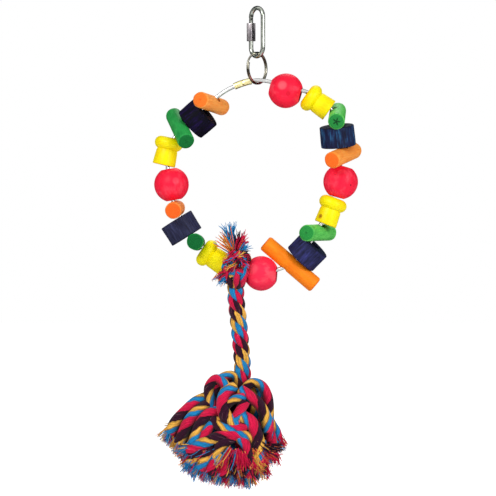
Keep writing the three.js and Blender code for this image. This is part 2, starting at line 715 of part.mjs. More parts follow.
// Top knot: two turns of rope round the wire, pulled into one lump, with frayed ends
const knot = pieceNamed("rope_top_knot");
const knotBore = solidFrom(
  tube(
    new HoopStretch(knot.length - knotDiameter, knot.length + knotDiameter),
    hoopWireRadius + seatGap,
    10,
    16,
  ),
);
const knotFrame = stand(knot.wirePoint, knot.tangent);
const lobe = knotWidth / 4;
const knotTurns = [-1, 1].map((side) => {
  const round = arcPoints(8, -90, 90, (a) => [
    knotDiameter / 2 - lobe + lobe * Math.cos(a),
    side * lobe + lobe * 0.98 * Math.sin(a),
  ]);
  const whole = [[0, round[0][1]], ...round, [0, round[round.length - 1][1]]];
  return solidFrom(turned(whole, 18).applyMatrix4(knotFrame));
});
const knotCore = solidFrom(rod(knotDiameter / 2 - lobe, knotWidth - 0.6, 18).applyMatrix4(knotFrame));
const neckTop = knot.wirePoint.z - hoopWire;
const neckBottom = knot.wirePoint.z - knotDrop;
const knotNeck = solidFrom(
  rod(ropeDiameter / 2, neckTop - neckBottom, 16).translate(
    knot.wirePoint.x,
    0,
    (neckTop + neckBottom) / 2,
  ),
);
const tufts = tuftEnds.map(({ lean, deep, length, width }) => {
  const direction = vector(Math.sin(degrees(lean)), deep / 40, Math.cos(degrees(lean)));
  const cone = new THREE.CylinderGeometry(width / 2, width * 0.3, length, 8).rotateX(Math.PI / 2);
  const base = knot.wirePoint.clone().addScaledVector(away, deep);
  cone.applyMatrix4(stand(base.addScaledVector(direction, length / 2), direction));
  return solidFrom(cone);
});
// The rope beds against its neighbours, so they are cut from it with room to swing
const swollen = (piece) => {
  const profile = piece.kind.profile.map(([height, radius], i, all) => {
    const end = i === 0 ? -1 : Number(i === all.length - 1);
    return [height + end * knotClearance, radius + knotClearance];
  });
  const body = turned(wholeProfile({ profile }), 20);
  return solidFrom(body.applyMatrix4(stand(piece.centre, piece.axis)));
};
const place = laid.indexOf(knot);
const neighbours = [laid[place - 1], laid[place + 1]].map(swollen);
let topKnot = joined([knotCore, ...knotTurns, knotNeck, ...tufts]).subtract(knotBore);
for (const neighbour of neighbours) topKnot = topKnot.subtract(neighbour);
const cotton = () => finish(0xb4284f, 0.95);
putGroup(ropeGroup, knot.wirePoint);
settle(addPiece(ropeGroup, "rope_top_knot", topKnot, cotton()), knot.wirePoint);

// Hanging rope, face to face with the top knot and the bottom knot
const ropeTop = vector(knot.wirePoint.x, 0, neckBottom - seatGap);
const ropePoints = ropeRoute.map(([x, y, z]) => vector(x, y, z).add(ropeTop));
const ropeEnd = ropePoints[ropePoints.length - 1];
const rope = solidFrom(tube(through(ropePoints), ropeDiameter / 2, 12, 5));
settle(addPiece(ropeGroup, "hanging_rope", rope, cotton()), ropeTop);

// Bottom knot and tassel: strands of the opened rope bedded into one body, clear of the hanging rope
const knotCentre = ropeEnd.clone().add(vector(-tasselOffset, -ropeEnd.y, -seatGap - tasselDrop));
const ropeRoom = solidFrom(
  rod(ropeDiameter / 2 + 2 * seatGap, 40, 16).translate(ropeEnd.x, ropeEnd.y, ropeEnd.z - seatGap + 20),
);
const strands = tasselStrands.map(([radius, frayed, route]) => {
  const points = route.map(([x, y, z]) => vector(x, y, z).add(knotCentre));
  const strand = solidFrom(tube(through(points), radius, 7, points.length + 2));
  if (!frayed) return strand;
  const end = points[points.length - 1];
  const direction = end.clone().sub(points[points.length - 2]).normalize();
  const fray = new THREE.CylinderGeometry(radius * frayFlare, radius, frayLength, 7).rotateX(Math.PI / 2);
  fray.applyMatrix4(stand(end.clone().addScaledVector(direction, frayLength / 2 - 1), direction));
  return strand.add(solidFrom(fray));
});
const bedded = joined(strands).subtract(ropeRoom).simplify(0.08).decompose();
const tassel = bedded.reduce((largest, body) => (body.volume() > largest.volume() ? body : largest));
settle(addPiece(ropeGroup, "tassel", tassel, cotton()), knotCentre);

export default toy;
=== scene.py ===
import json
import math
import random

import bpy
import numpy as np
from mathutils import Matrix, Vector


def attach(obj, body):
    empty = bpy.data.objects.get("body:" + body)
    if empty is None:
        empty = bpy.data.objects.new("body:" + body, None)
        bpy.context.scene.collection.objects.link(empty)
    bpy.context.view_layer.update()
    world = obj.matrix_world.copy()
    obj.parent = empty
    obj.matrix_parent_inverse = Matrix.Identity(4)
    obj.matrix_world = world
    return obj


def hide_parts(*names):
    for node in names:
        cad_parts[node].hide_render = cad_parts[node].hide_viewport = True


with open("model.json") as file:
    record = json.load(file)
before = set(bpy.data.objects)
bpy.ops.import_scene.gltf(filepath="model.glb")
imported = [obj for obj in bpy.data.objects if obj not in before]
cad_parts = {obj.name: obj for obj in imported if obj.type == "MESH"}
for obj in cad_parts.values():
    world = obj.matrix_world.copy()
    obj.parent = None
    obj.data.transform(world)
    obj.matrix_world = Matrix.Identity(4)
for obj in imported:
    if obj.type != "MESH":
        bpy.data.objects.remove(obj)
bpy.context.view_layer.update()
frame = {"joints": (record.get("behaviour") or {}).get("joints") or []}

bpy.ops.object.select_all(action="DESELECT")
scene = bpy.context.scene
mm = 0.001


def fromScreen(red, green, blue):
    # screen colour, 0 to 255, as a linear colour
    parts = [part / 255 for part in (red, green, blue)]
    linear = [p / 12.92 if p <= 0.04045 else ((p + 0.055) / 1.055) ** 2.4 for p in parts]
    return (*linear, 1)


# Camera: straight on with a long lens, as in the photograph
view = {"distance": 2.4, "centre": (-0.00747, -0.19738), "frameWidth": 0.41168, "sensor": 36}
cameraData = bpy.data.cameras.new("camera")
cameraData.sensor_width = view["sensor"]
cameraData.lens = view["sensor"] * view["distance"] / view["frameWidth"]
cameraData.clip_end = 40
camera = bpy.data.objects.new("camera", cameraData)
scene.collection.objects.link(camera)
camera.location = (view["centre"][0], -view["distance"], view["centre"][1])
camera.rotation_euler = (math.pi / 2, 0, 0)
scene.camera = camera
# the photograph's scale, and the pixel where the frame's origin lies
photo = {"pixel": 0.00083, "originX": 257, "originY": 10.2}


def photoPoint(px, py, depth):
    # a pixel of the photograph and a depth in millimetres, as a place in metres
    return Vector(((px - photo["originX"]) * photo["pixel"], depth * mm,
                   (photo["originY"] - py) * photo["pixel"]))


# Routes and swept tubes

def stepLengths(line):
    return np.linalg.norm(np.diff(line, axis=0), axis=1)


def farAlong(line):
    # how far along a line each of its points lies
    return np.concatenate([[0], np.cumsum(stepLengths(line))])


def pointsAt(wanted, far, line):
    return np.stack([np.interp(wanted, far, line[:, k]) for k in range(3)], axis=1)


def smoothRoute(points, count, closed=False, fine=40):
    # centripetal spline through the points, in even steps of length
    pts = [Vector(p) for p in points]
    total = len(pts)
    dense = []
    for i in range(total if closed else total - 1):
        if closed:
            p0, p1, p2, p3 = (pts[(i + k - 1) % total] for k in range(4))
        else:
            p1, p2 = pts[i], pts[i + 1]
            p0 = pts[i - 1] if i > 0 else p1 * 2 - p2
            p3 = pts[i + 2] if i + 2 < total else p2 * 2 - p1
        d0, d1, d2 = ((b - a).length ** 0.5 or 1 for a, b in ((p0, p1), (p1, p2), (p2, p3)))
        t1 = ((p1 - p0) / d0 - (p2 - p0) / (d0 + d1) + (p2 - p1) / d1) * d1
        t2 = ((p2 - p1) / d1 - (p3 - p1) / (d1 + d2) + (p3 - p2) / d2) * d1
        a = 2 * p1 - 2 * p2 + t1 + t2
        b = -3 * p1 + 3 * p2 - 2 * t1 - t2
        for k in range(fine):
            t = k / fine
            dense.append(((a * t + b) * t + t1) * t + p1)
    dense.append(pts[0].copy() if closed else pts[-1].copy())
    flat = np.array(dense)
    far = farAlong(flat)
    return pointsAt(np.linspace(0, far[-1], count), far, flat)


def routeFrames(route):
    # two cross directions at each point of a route, carried along without twist
    tangents = np.gradient(route, axis=0)
    tangents /= np.linalg.norm(tangents, axis=1)[:, None]
    first = np.array((0, 1, 0), float)
    first -= tangents[0] * (first @ tangents[0])
    if np.linalg.norm(first) < 0.05:
        first = np.cross(tangents[0], (0.3, 0.2, 1))
    across = [first / np.linalg.norm(first)]
    for tangent in tangents[1:]:
        carried = across[-1] - tangent * (across[-1] @ tangent)
        across.append(carried / np.linalg.norm(carried))
    across = np.array(across)
    return across, np.cross(tangents, across)


def tube(points, sides, far, capped=True):
    # rings of points as one part: points, faces and a UV of share round and metres along
    faces, uvs = [], []
    for i in range(len(far) - 1):
        for k in range(sides):
            m = (k + 1) % sides
            faces.append((i * sides + k, i * sides + m, (i + 1) * sides + m, (i + 1) * sides + k))
            u0, u1 = k / sides, (k + 1) / sides
            uvs += [(u0, far[i]), (u1, far[i]), (u1, far[i + 1]), (u0, far[i + 1])]
    if capped:
        last = (len(far) - 1) * sides
        faces += [tuple(range(sides - 1, -1, -1)), tuple(range(last, last + sides))]
        uvs += [(0.5, 0)] * sides + [(0.5, far[-1])] * sides
    return {"points": np.reshape(points, (-1, 3)), "faces": faces, "uvs": uvs}


def sweep(route, outline, scale=1.0, capped=True):
    # carries an outline along a route
    across, up = routeFrames(route)
    scale = (np.ones(len(route)) * scale)[:, None]
    x, y = (np.array(outline, float)[:, k] * scale for k in range(2))
    points = route[:, None, :] + across[:, None, :] * x[..., None] + up[:, None, :] * y[..., None]
    return tube(points, len(outline), farAlong(route), capped)


def circle(radius, sides):
    turn = 2 * math.pi / sides
    return [(radius * math.cos(turn * i), radius * math.sin(turn * i)) for i in range(sides)]


def pieceFrom(name, parts, tones=None):
    # one mesh object from swept parts, with an optional tone for each part
    points, faces, uvs, tone = [], [], [], []
    start = 0
    for index, part in enumerate(parts):
        points.append(part["points"])
        faces += [tuple(start + v for v in face) for face in part["faces"]]
        uvs += part["uvs"]
        start += len(part["points"])
        if tones is not None:
            tone += [tones[index]] * len(part["points"])
    mesh = bpy.data.meshes.new(name)
    mesh.from_pydata(np.concatenate(points).tolist(), [], faces)
    layer = mesh.uv_layers.new(name="along")
    layer.data.foreach_set("uv", np.array(uvs, np.float32).ravel())
    if tones is not None:
        attribute = mesh.attributes.new("tone", "FLOAT", "POINT")
        attribute.data.foreach_set("value", np.array(tone, np.float32))
    mesh.update()
    piece = bpy.data.objects.new(name, mesh)
    scene.collection.objects.link(piece)
    for polygon in mesh.polygons:
        polygon.use_smooth = True
    return piece


# Editing and cutting

def alone(piece):
    bpy.ops.object.select_all(action="DESELECT")
    piece.select_set(True)
    bpy.context.view_layer.objects.active = piece


def editing(piece):
    alone(piece)
    bpy.ops.object.mode_set(mode="EDIT")


def edited():
    # ends the editing of a piece, with all its faces turned outwards
    bpy.ops.mesh.select_all(action="SELECT")
    bpy.ops.mesh.normals_make_consistent(inside=False)
    bpy.ops.object.mode_set(mode="OBJECT")


def faceOutwards(piece):
    editing(piece)
    edited()
    piece.select_set(False)


def rounded(piece, angle=32):
    alone(piece)
    bpy.ops.object.shade_smooth_by_angle(angle=math.radians(angle))
    piece.select_set(False)


def choose(piece, kind, test):
    # selects faces or edges by their own place, in edit mode
    bpy.ops.mesh.select_mode(type=kind)
    bpy.ops.mesh.select_all(action="DESELECT")
    bpy.ops.object.mode_set(mode="OBJECT")
    mesh = piece.data
    if kind == "FACE":
        for face in mesh.polygons:
            face.select = test(face.center, face.normal)
    else:
        for edge in mesh.edges:
            edge.select = test(*(mesh.vertices[v].co for v in edge.vertices))
    bpy.ops.object.mode_set(mode="EDIT")


def applied(piece, kind, **settings):
    modifier = piece.modifiers.new(kind.lower(), kind)
    for key, value in settings.items():
        setattr(modifier, key, value)
    bpy.context.view_layer.objects.active = piece
    bpy.ops.object.modifier_apply(modifier=modifier.name)


def cylinder(sides, radius, depth):
    bpy.ops.mesh.primitive_cylinder_add(vertices=sides, radius=radius, depth=depth)
    return bpy.context.active_object


def cut(piece, tool, operation="DIFFERENCE"):
    applied(piece, "BOOLEAN", object=tool, operation=operation, solver="MANIFOLD")
    bpy.data.objects.remove(tool)


def storeHollowShade(piece, middle):
    # keeps how far each point faces away from the outside of a bunch, for the painted shade in the bunch's
    # hollows
    mesh = piece.data
    points = np.empty((len(mesh.vertices), 3), np.float32)
    normals = np.empty_like(points)
    mesh.vertices.foreach_get("co", points.ravel())
    mesh.vertex_normals.foreach_get("vector", normals.ravel())
    away = points - np.array(middle, np.float32)
    away /= np.linalg.norm(away, axis=1, keepdims=True)
    facing = np.sum(normals * away, axis=1)
    attribute = mesh.attributes.new("hollow", "FLOAT", "POINT")
    attribute.data.foreach_set("value", np.clip((0.6 - facing) / 0.8, 0, 1))


# Materials

class Value:
    # a shader socket that can be used in sums
    def __init__(self, tree, socket):
        self.tree = tree
        self.socket = socket

    def worked(self, operation, first, second=None):
        node = self.tree.nodes.new("ShaderNodeMath")
        node.operation = operation
        for index, item in enumerate((first, second)):
            if isinstance(item, Value):
                self.tree.links.new(item.socket, node.inputs[index])
            elif item is not None:
                node.inputs[index].default_value = item
        return Value(self.tree, node.outputs[0])

    def __add__(self, other): return self.worked("ADD", self, other)
    def __radd__(self, other): return self.worked("ADD", other, self)
    def __sub__(self, other): return self.worked("SUBTRACT", self, other)
    def __rsub__(self, other): return self.worked("SUBTRACT", other, self)
    def __mul__(self, other): return self.worked("MULTIPLY", self, other)
    def __truediv__(self, other): return self.worked("DIVIDE", self, other)
    def __pow__(self, other): return self.worked("POWER", self, other)
    def __abs__(self): return self.worked("ABSOLUTE", self)
    def sine(self): return self.worked("SINE", self)


class Finish:
    # one material and its nodes
    def __init__(self, name):
        self.material = bpy.data.materials.new(name)
        self.material.use_nodes = True
        self.tree = self.material.node_tree
        self.shader = self.tree.nodes["Principled BSDF"]

    def add(self, kind, settings=None, inputs=None, output=0):
        node = self.tree.nodes.new("ShaderNode" + kind)
        for key, setting in (settings or {}).items():
            if key == "stops":
                ramp = node.color_ramp
                while len(ramp.elements) < len(setting):
                    ramp.elements.new(0.5)
                for element, (place, colour) in zip(ramp.elements, setting):
                    element.position = place
                    element.color = colour
            elif key == "interpolation":
                node.color_ramp.interpolation = setting
            else:
                setattr(node, key, setting)
        for key, value in (inputs or {}).items():
            if isinstance(value, Value):
                self.tree.links.new(value.socket, node.inputs[key])
            else:
                node.inputs[key].default_value = value
        return Value(self.tree, node.outputs[output])

    def place(self, centre=(0, 0, 0), turn=(0, 0, 0)):
        coordinates = self.add("TexCoord", output=3)
        return self.add("Mapping", {"vector_type": "TEXTURE"},
                        {"Vector": coordinates, "Location": centre, "Rotation": turn})

    def stretched(self, vector, scale):
        return self.add("Mapping", None, {"Vector": vector, "Scale": scale})

    def noise(self, vector, scale, detail=2, roughness=0.5):
        return self.add("TexNoise", None,
                        {"Vector": vector, "Scale": scale, "Detail": detail, "Roughness": roughness})

    def parts(self, vector):
        split = self.add("SeparateXYZ", None, {"Vector": vector})
        outputs = split.socket.node.outputs
        return [Value(self.tree, socket) for socket in outputs]

    def ramp(self, factor, low, high):
        # 0 below low, 1 above high, smooth between
        return self.add("MapRange", {"interpolation_type": "SMOOTHSTEP"},
                        {"Value": factor, "From Min": low, "From Max": high})

    def mixed(self, factor, first, second, blend="MIX"):
        return self.add("Mix", {"data_type": "RGBA", "blend_type": blend},
                        {0: factor, 6: first, 7: second}, 2)

    def shaded(self, colour, shade):
        grey = self.add("CombineColor", None, {0: shade, 1: shade, 2: shade})
        return self.mixed(1.0, colour, grey, "MULTIPLY")

    def bump(self, height, distance, strength=1):
        return self.add("Bump", None,
                        {"Height": height, "Distance": distance, "Strength": strength})

    def finished(self, **sockets):
        for name, value in sockets.items():
            socket = self.shader.inputs[name.replace("_", " ")]
            if isinstance(value, Value):
                self.tree.links.new(value.socket, socket)
            else:
                socket.default_value = value
        return self.material


def dress(piece, material, slot=None):
    piece.data.materials.clear()
    piece.data.materials.append(material)


yarnColours = {
    "crimson": fromScreen(222, 18, 72),
    "blue": fromScreen(28, 140, 205),
    "yellow": fromScreen(248, 186, 78),
    "purple": fromScreen(50, 9, 36),
}


def yarnFinish(name, pitch, yarns, shares, softness=0.02):
    # four coloured bundles of yarn laid round a strand, from its own UV
    paint = Finish(name)
    u, v, _ = paint.parts(paint.add("TexCoord", output=2))
    wander = paint.noise(paint.place(), 180, 2)
    lay = u + v / pitch + (wander - 0.5) * softness * 4
    bundle = lay.worked("FRACT", lay)
    stops, start = [], 0
    for colour, share in shares.items():
        stops.append((start, yarnColours[colour]))
        start += share
        stops.append((start - 0.018, yarnColours[colour]))
    colour = paint.add("ValToRGB", {"stops": stops}, {"Fac": bundle})
    yarnWave = (lay * (2 * math.pi * yarns)).sine()
    edge, start = abs(bundle - 1), 0
    for share in shares.values():
        edge = edge.worked("MINIMUM", edge, abs(bundle - start))
        start += share
    groove = paint.ramp(edge, 0, 0.04)
    twist = paint.add("CombineXYZ", None, {0: lay * (yarns * 0.9), 1: v * 60.0, 2: 0.0})
    fibre = paint.noise(twist, 1, 4, 0.75)
    hollow = paint.add("Attribute", {"attribute_name": "hollow"}, output=2)
    # painted shade: darker in the grooves between bundles, light and dark across each yarn, and darker in a
    # bunch's hollows; the fibre noise is the yarn's own streaks
    shade = (0.45 + groove * 0.5 + yarnWave * 0.16 + (fibre - 0.5) * 2.2) * (1 - hollow * 0.8)
    # pale pink where the fibres stand out most: painted highlights on the fibres
    colour = paint.mixed(paint.ramp(fibre, 0.6, 0.75) * 0.3, colour, fromScreen(255, 206, 196))
    height = groove * 0.55 + yarnWave * 0.3 + fibre * 0.5
    return paint.finished(Base_Color=paint.shaded(colour, shade), Roughness=0.88,
                          Normal=paint.bump(height, 0.0006, 0.9), Sheen_Weight=0.08, Sheen_Roughness=0.5,
                          Specular_IOR_Level=0.15)


def fringeFinish(name):
    # loose fibres, coloured by the tone kept on each one
    paint = Finish(name)
    tone = paint.add("Attribute", {"attribute_name": "tone"}, output=2)
    stops = [(0, yarnColours["crimson"]), (0.25, yarnColours["blue"]), (0.5, yarnColours["yellow"]),
             (0.64, fromScreen(240, 120, 60)), (0.75, yarnColours["purple"])]
    colour = paint.add("ValToRGB", {"stops": stops, "interpolation": "CONSTANT"}, {"Fac": tone})
    patch = paint.noise(paint.place(), 500, 3, 0.6)
    return paint.finished(Base_Color=paint.shaded(colour, 0.62 + patch * 0.55), Roughness=0.9,
                          Sheen_Weight=0.08, Specular_IOR_Level=0.15)


# Hanging rope, the free cord: three strands laid left over right
rope = {
    "top": (-0.017572, 0, -0.227607),
    "route": [(0, 0, 0), (0, 0, -9), (3, -0.8, -38), (5.4, -1, -66), (5.6, -0.8, -80), (5.6, -0.8, -89.2)],
    "diameter": 0.0144, "strands": 3, "pitch": 0.029, "start": 0.9, "fullness": 1.1,
    "yarnPitch": -0.034, "sides": 26, "steps": 110,
}
ropeLine = smoothRoute([Vector(rope["top"]) + Vector(p) * mm for p in rope["route"]], rope["steps"])
strandRadius = rope["diameter"] / 2 / (1 + 2 / math.sqrt(3)) * rope["fullness"]
strandReach = rope["diameter"] / 2 - strandRadius
across, up = routeFrames(ropeLine)
ropeStrands = []
for index in range(rope["strands"]):
    # each strand winds round the middle line and is a little fuller than round
    angle = (rope["start"] + 2 * math.pi * index / rope["strands"]
             - 2 * math.pi * farAlong(ropeLine) / rope["pitch"])
    centre = (ropeLine + across * (strandReach * np.cos(angle))[:, None]
              + up * (strandReach * np.sin(angle))[:, None])
    ropeStrands.append(sweep(centre, circle(strandRadius, rope["sides"]), 1 + 0.03 * np.sin(angle * 2)))
hangingRope = pieceFrom("hangingRope", ropeStrands)
faceOutwards(hangingRope)
evenYarns = {"crimson": 0.25, "blue": 0.25, "yellow": 0.25, "purple": 0.25}
ropeYarn = yarnFinish("cottonLaidYarn", rope["yarnPitch"], 20, evenYarns)
dress(hangingRope, ropeYarn, "cotton_rope")
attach(hangingRope, "rope")
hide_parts("hanging_rope")

# Strung wooden pieces: places and bores come from the frame's joints
strung = [joint for joint in frame["joints"] if joint["name"].endswith("_spin")]
# the way each dowel points, and the spools whose flange lies back along the wire
ownWays = {
    "orange_dowel_1": (0.32623, 0.94257, -0.07163),
    "green_dowel_1": (-0.21316, 0.87154, 0.44157),
    "orange_dowel_2": (0.03459, 0.99802, 0.05251),
    "green_dowel_2": (0.01197, 0.99985, -0.0127),
    "orange_dowel_3": (0.76012, 0, -0.64978),
    "green_dowel_3": (0.37195, 0.92815, 0.0139),
    "yellow_spool_3": (-0.34671, 0, -0.93797),
    "orange_dowel_4": (0.37407, 0.90965, 0.18057),
    "green_dowel_4": (0.05511, 0.97553, 0.21285),
    "yellow_spool_4": (0.81946, 0, -0.57313),
}


def boredThrough(piece, radius):
    # opens both end faces to a bore and joins them with its wall
    for side in (-1, 1):
        choose(piece, "FACE", lambda centre, normal: normal.z * side > 0.9 and centre.xy.length < radius)
        bpy.ops.mesh.delete(type="FACE")
    choose(piece, "EDGE", lambda a, b: max(a.xy.length, b.xy.length) < radius * 1.06)
    bpy.ops.mesh.bridge_edge_loops()


dowel = {"diameter": 0.0139, "length": 0.055, "hole": 0.0064, "edge": 0.0022, "sides": 56,
         "drillLength": 0.03, "drillSides": 40}
drum = {"diameter": 0.029, "length": 0.0171, "bore": 0.0115, "edge": 0.0007, "sides": 80}
spool = {"length": 0.0234, "flange": 0.0236, "flangeThick": 0.0105, "neck": 0.0173, "barrel": 0.019,
         "bore": 0.0105, "edge": 0.0005, "sides": 64}
ball = {"diameter": 0.029, "bore": 0.012, "edge": 0.0005, "sides": 64, "rings": 40}


def makeDowel():
    piece = cylinder(dowel["sides"], dowel["diameter"] / 2, dowel["length"])
    applied(piece, "BEVEL", width=dowel["edge"], segments=7, limit_method="ANGLE",
            angle_limit=math.radians(60))
    return piece


def makeDrum():
    piece = cylinder(drum["sides"], drum["diameter"] / 2, drum["length"])
    half = drum["length"] / 2
    editing(piece)
    choose(piece, "FACE", lambda centre, normal: abs(normal.z) > 0.98)
    bpy.ops.mesh.inset(thickness=(drum["diameter"] - drum["bore"]) / 2)
    boredThrough(piece, drum["bore"] / 2)
    choose(piece, "EDGE", lambda a, b: abs(a.z - b.z) < 1e-5 and abs(a.xy.length - b.xy.length) < 1e-5)
    bpy.ops.mesh.bevel(offset=drum["edge"], segments=4, profile=0.5)
    for share in (-0.6, -0.2, 0.2, 0.6):
        bpy.ops.mesh.select_all(action="SELECT")
        bpy.ops.mesh.bisect(plane_co=(0, 0, half * share), plane_no=(0, 0, 1))
    bpy.ops.object.mode_set(mode="OBJECT")
    return piece


def makeSpool():
    half = spool["length"] / 2
    lip = spool["flangeThick"] / 2
    inner = spool["flange"] / 2 - lip
    neck = spool["neck"] / 2
    meet = math.acos((neck - inner) / lip)
    bands = []
    for k in range(17):
        angle = -math.pi / 2 + (meet + math.pi / 2) * k / 16
        bands.append((inner + lip * math.cos(angle), -half + lip + lip * math.sin(angle)))
    top = bands[-1][1]
    barrel = spool["barrel"] / 2
    bore = spool["bore"] / 2
    bands += [(neck + 0.00005, top + 0.0005), (neck + (barrel - neck) * 0.5, top + 0.0017)]
    bands += [(barrel - 0.0001, half * 0.5), (barrel, half * 0.8)]
    bands += [(barrel, half - spool["edge"]), (barrel - spool["edge"] * 0.3, half - spool["edge"] * 0.3)]
    bands += [(barrel - spool["edge"], half), (bore + 0.0004, half)]
    bands += [(bore, half - 0.0004), (bore, -half + 0.0006)]
    before = (bore + 0.0001, -half + 0.0002)
    bpy.ops.mesh.primitive_circle_add(vertices=spool["sides"], radius=before[0], fill_type="NOTHING",
                                      location=(0, 0, before[1]))
    piece = bpy.context.active_object
    bpy.ops.object.transform_apply(location=True, rotation=False, scale=False)
    editing(piece)
    bpy.ops.mesh.select_all(action="SELECT")
    for radius, height in bands:
        bpy.ops.mesh.extrude_region_move(TRANSFORM_OT_translate={"value": (0, 0, height - before[1])})
        grow = radius / before[0]
        bpy.ops.transform.resize(value=(grow, grow, 1), center_override=(0, 0, height))
        before = (radius, height)
    low = -half + 0.0008
    choose(piece, "EDGE", lambda a, b: abs(a.z - b.z) < 1e-6 and a.z < low and a.xy.length < bore + 0.00012)
    bpy.ops.mesh.bridge_edge_loops()
    edited()
    return piece


def makeBall():
    bpy.ops.mesh.primitive_uv_sphere_add(segments=ball["sides"], ring_count=ball["rings"],
                                         radius=ball["diameter"] / 2)
    piece = bpy.context.active_object
    radius = ball["bore"] / 2
    mouth = math.sqrt((ball["diameter"] / 2) ** 2 - radius ** 2)
    editing(piece)
    for side in (-1, 1):
        bpy.ops.mesh.select_all(action="SELECT")
        bpy.ops.mesh.bisect(plane_co=(0, 0, side * mouth), plane_no=(0, 0, side), clear_outer=True)
    choose(piece, "EDGE", lambda a, b: abs(a.z - b.z) < 1e-6 and abs(abs(a.z) - mouth) < 1e-6)
    bpy.ops.mesh.bridge_edge_loops()
    choose(piece, "EDGE", lambda a, b: abs(a.z - b.z) < 1e-6 and abs(abs(a.z) - mouth) < 1e-6)
    bpy.ops.mesh.bevel(offset=ball["edge"], segments=4, profile=0.5)
    edited()
    return piece


turnedShapes = {"dowel": makeDowel(), "drum": makeDrum(), "spool": makeSpool(), "ball": makeBall()}
# each dye: its usual shade, its deep and its pale shade, and how rough it is
woodColours = {
    "orange": ((255, 158, 64), (250, 98, 22), (255, 180, 100), 0.58),
    "blue": ((40, 42, 72), (20, 18, 40), (66, 70, 108), 0.6),
    "green": ((78, 190, 78), (0, 108, 40), (136, 220, 118), 0.55),
    "yellow": ((255, 236, 0), (252, 176, 0), (255, 246, 40), 0.42),
    "red": ((252, 26, 62), (214, 8, 40), (255, 76, 98), 0.4),
}
# pieces on which the dye took differently; the darker colours of green_dowel_1 are partly painted shade, and
# the lighter ones of green_dowel_3 and yellow_spool_2 partly painted light
ownColours = {
    "blue_drum_1": ((2, 0, 20), (0, 0, 5), (38, 16, 84), 0.82),
    "blue_drum_3": ((34, 36, 76), (14, 14, 36), (64, 66, 140), 0.6),
    "blue_drum_4": ((24, 32, 72), (8, 8, 24), (46, 106, 156), 0.6),
    # darker, partly painted shade from the pieces beside it
    "green_dowel_1": ((42, 164, 76), (0, 92, 40), (84, 196, 104), 0.5),
    "green_dowel_2": ((20, 140, 62), (0, 84, 36), (60, 176, 88), 0.5),
    # lighter, partly painted light
    "green_dowel_3": ((98, 206, 92), (4, 128, 54), (150, 232, 130), 0.5),
    "green_dowel_4": ((94, 206, 90), (0, 116, 52), (140, 226, 124), 0.5),
    "orange_dowel_1": ((255, 166, 76), (252, 108, 26), (255, 192, 120), 0.55),
    "orange_dowel_2": ((255, 150, 66), (250, 86, 16), (255, 180, 100), 0.58),
    "orange_dowel_3": ((255, 138, 20), (232, 88, 6), (255, 172, 62), 0.5),
    # lighter, partly painted light
    "yellow_spool_2": ((255, 240, 0), (255, 212, 0), (255, 248, 30), 0.42),
    "red_ball_2": ((250, 40, 76), (222, 14, 50), (255, 104, 118), 0.5),
}
# marks in the wood, and on the red balls painted highlights: place from the piece's middle in millimetres,
# size in metres, colour, strength, rays
ownMarksAndHighlights = {
    "yellow_spool_1": [((2, -9, 9), 0.0018, (150, 120, 10), 0.7, 0)],
    "yellow_spool_3": [((-8.5, -6.9, -4.3), 0.0026, (170, 96, 12), 0.75, 0),
                       ((-8.5, -6.9, -4.3), 0.0011, (92, 44, 6), 0.8, 3)],
    "green_dowel_1": [((5.9, -24, -12.1), 0.0022, (4, 70, 30), 0.5, 3)],
    "green_dowel_3": [((-10.2, -25.5, -0.4), 0.0016, (4, 70, 30), 0.6, 3)],
    "green_dowel_4": [((-1.5, -26.8, -5.9), 0.0042, (2, 46, 22), 0.9, 5)],
    "orange_dowel_1": [((-9, -25.9, 2), 0.0016, (214, 74, 12), 0.6, 4)],
    # the pale marks on the red balls are painted highlights; the dark ones are specks and a darker patch
    "red_ball_1": [((4, -13.5, 3), 0.0036, (255, 84, 104), 0.35, 0)],
    "red_ball_2": [((-7, -12, 4), 0.0055, (255, 92, 108), 0.4, 0),
                   ((3, -13.5, -6), 0.004, (255, 84, 100), 0.3, 0)],
    "red_ball_3": [((8, -11.5, -3), 0.0011, (140, 4, 24), 0.8, 0),
                   ((-5, -12.5, 6), 0.0008, (150, 6, 28), 0.7, 0)],
    "red_ball_4": [((-3, -13.5, 4), 0.0048, (255, 112, 124), 0.45, 0),
                   ((2, -14, -3), 0.0026, (196, 6, 36), 0.5, 0)],
}
# grain: how strong the streaks are; ends: how deep the end grain takes the dye; skin: where the part of the
# radius that is never quite true starts, and how soon it is reached
shapeLooks = {
    "dowel": {"grain": 0.3, "patchy": 0.25, "ends": 0.95, "half": dowel["length"] / 2, "lathe": 0.0,
              "coat": 0.0, "relief": 0.6, "bore": dowel["hole"] / 2, "skin": (0.0045, 0.002)},
    "drum": {"grain": 0.8, "patchy": 0.3, "ends": 0.7, "half": drum["length"] / 2, "lathe": 0.0,
             "coat": 0.02, "relief": 0.7, "bore": drum["bore"] / 2, "skin": (0.0065, 0.0015)},
    "spool": {"grain": 0.16, "patchy": 0.1, "ends": 0.45, "half": spool["length"] / 2, "lathe": 0.35,
              "coat": 0.06, "relief": 0.2, "bore": spool["bore"] / 2, "skin": (0.0065, 0.0015)},
    "ball": {"grain": 0.12, "patchy": 0.55, "ends": 0.0, "lathe": 0.35,
             "coat": 0.04, "relief": 0.35, "bore": ball["bore"] / 2, "skin": (0.0065, 0.0015)},
}
# distances between the marks of the lathe and between the year rings
lathePitch, yearPitch = 0.0013, 0.0011
sliver = 0.00001
# how far the cut surfaces stray from true, in metres
untrue = {"oval": 0.00009, "facets": 0.00006, "along": 0.00007}


def markedOrHighlighted(paint, colour, point, size, shade, strength, rays):
    # a round or rayed spot: a knot or mark in the wood, and on the red balls a painted highlight
    x, y, z = paint.parts(paint.place(point))
    far = (x * x + y * y + z * z) ** 0.5
    if rays:
        angle = z.worked("ARCTAN2", z, x) * rays
        far = far / (angle.worked("COSINE", angle) * 0.36 + 0.64)
    return paint.mixed(paint.ramp(far, size, size * 0.55) * strength, colour, fromScreen(*shade))


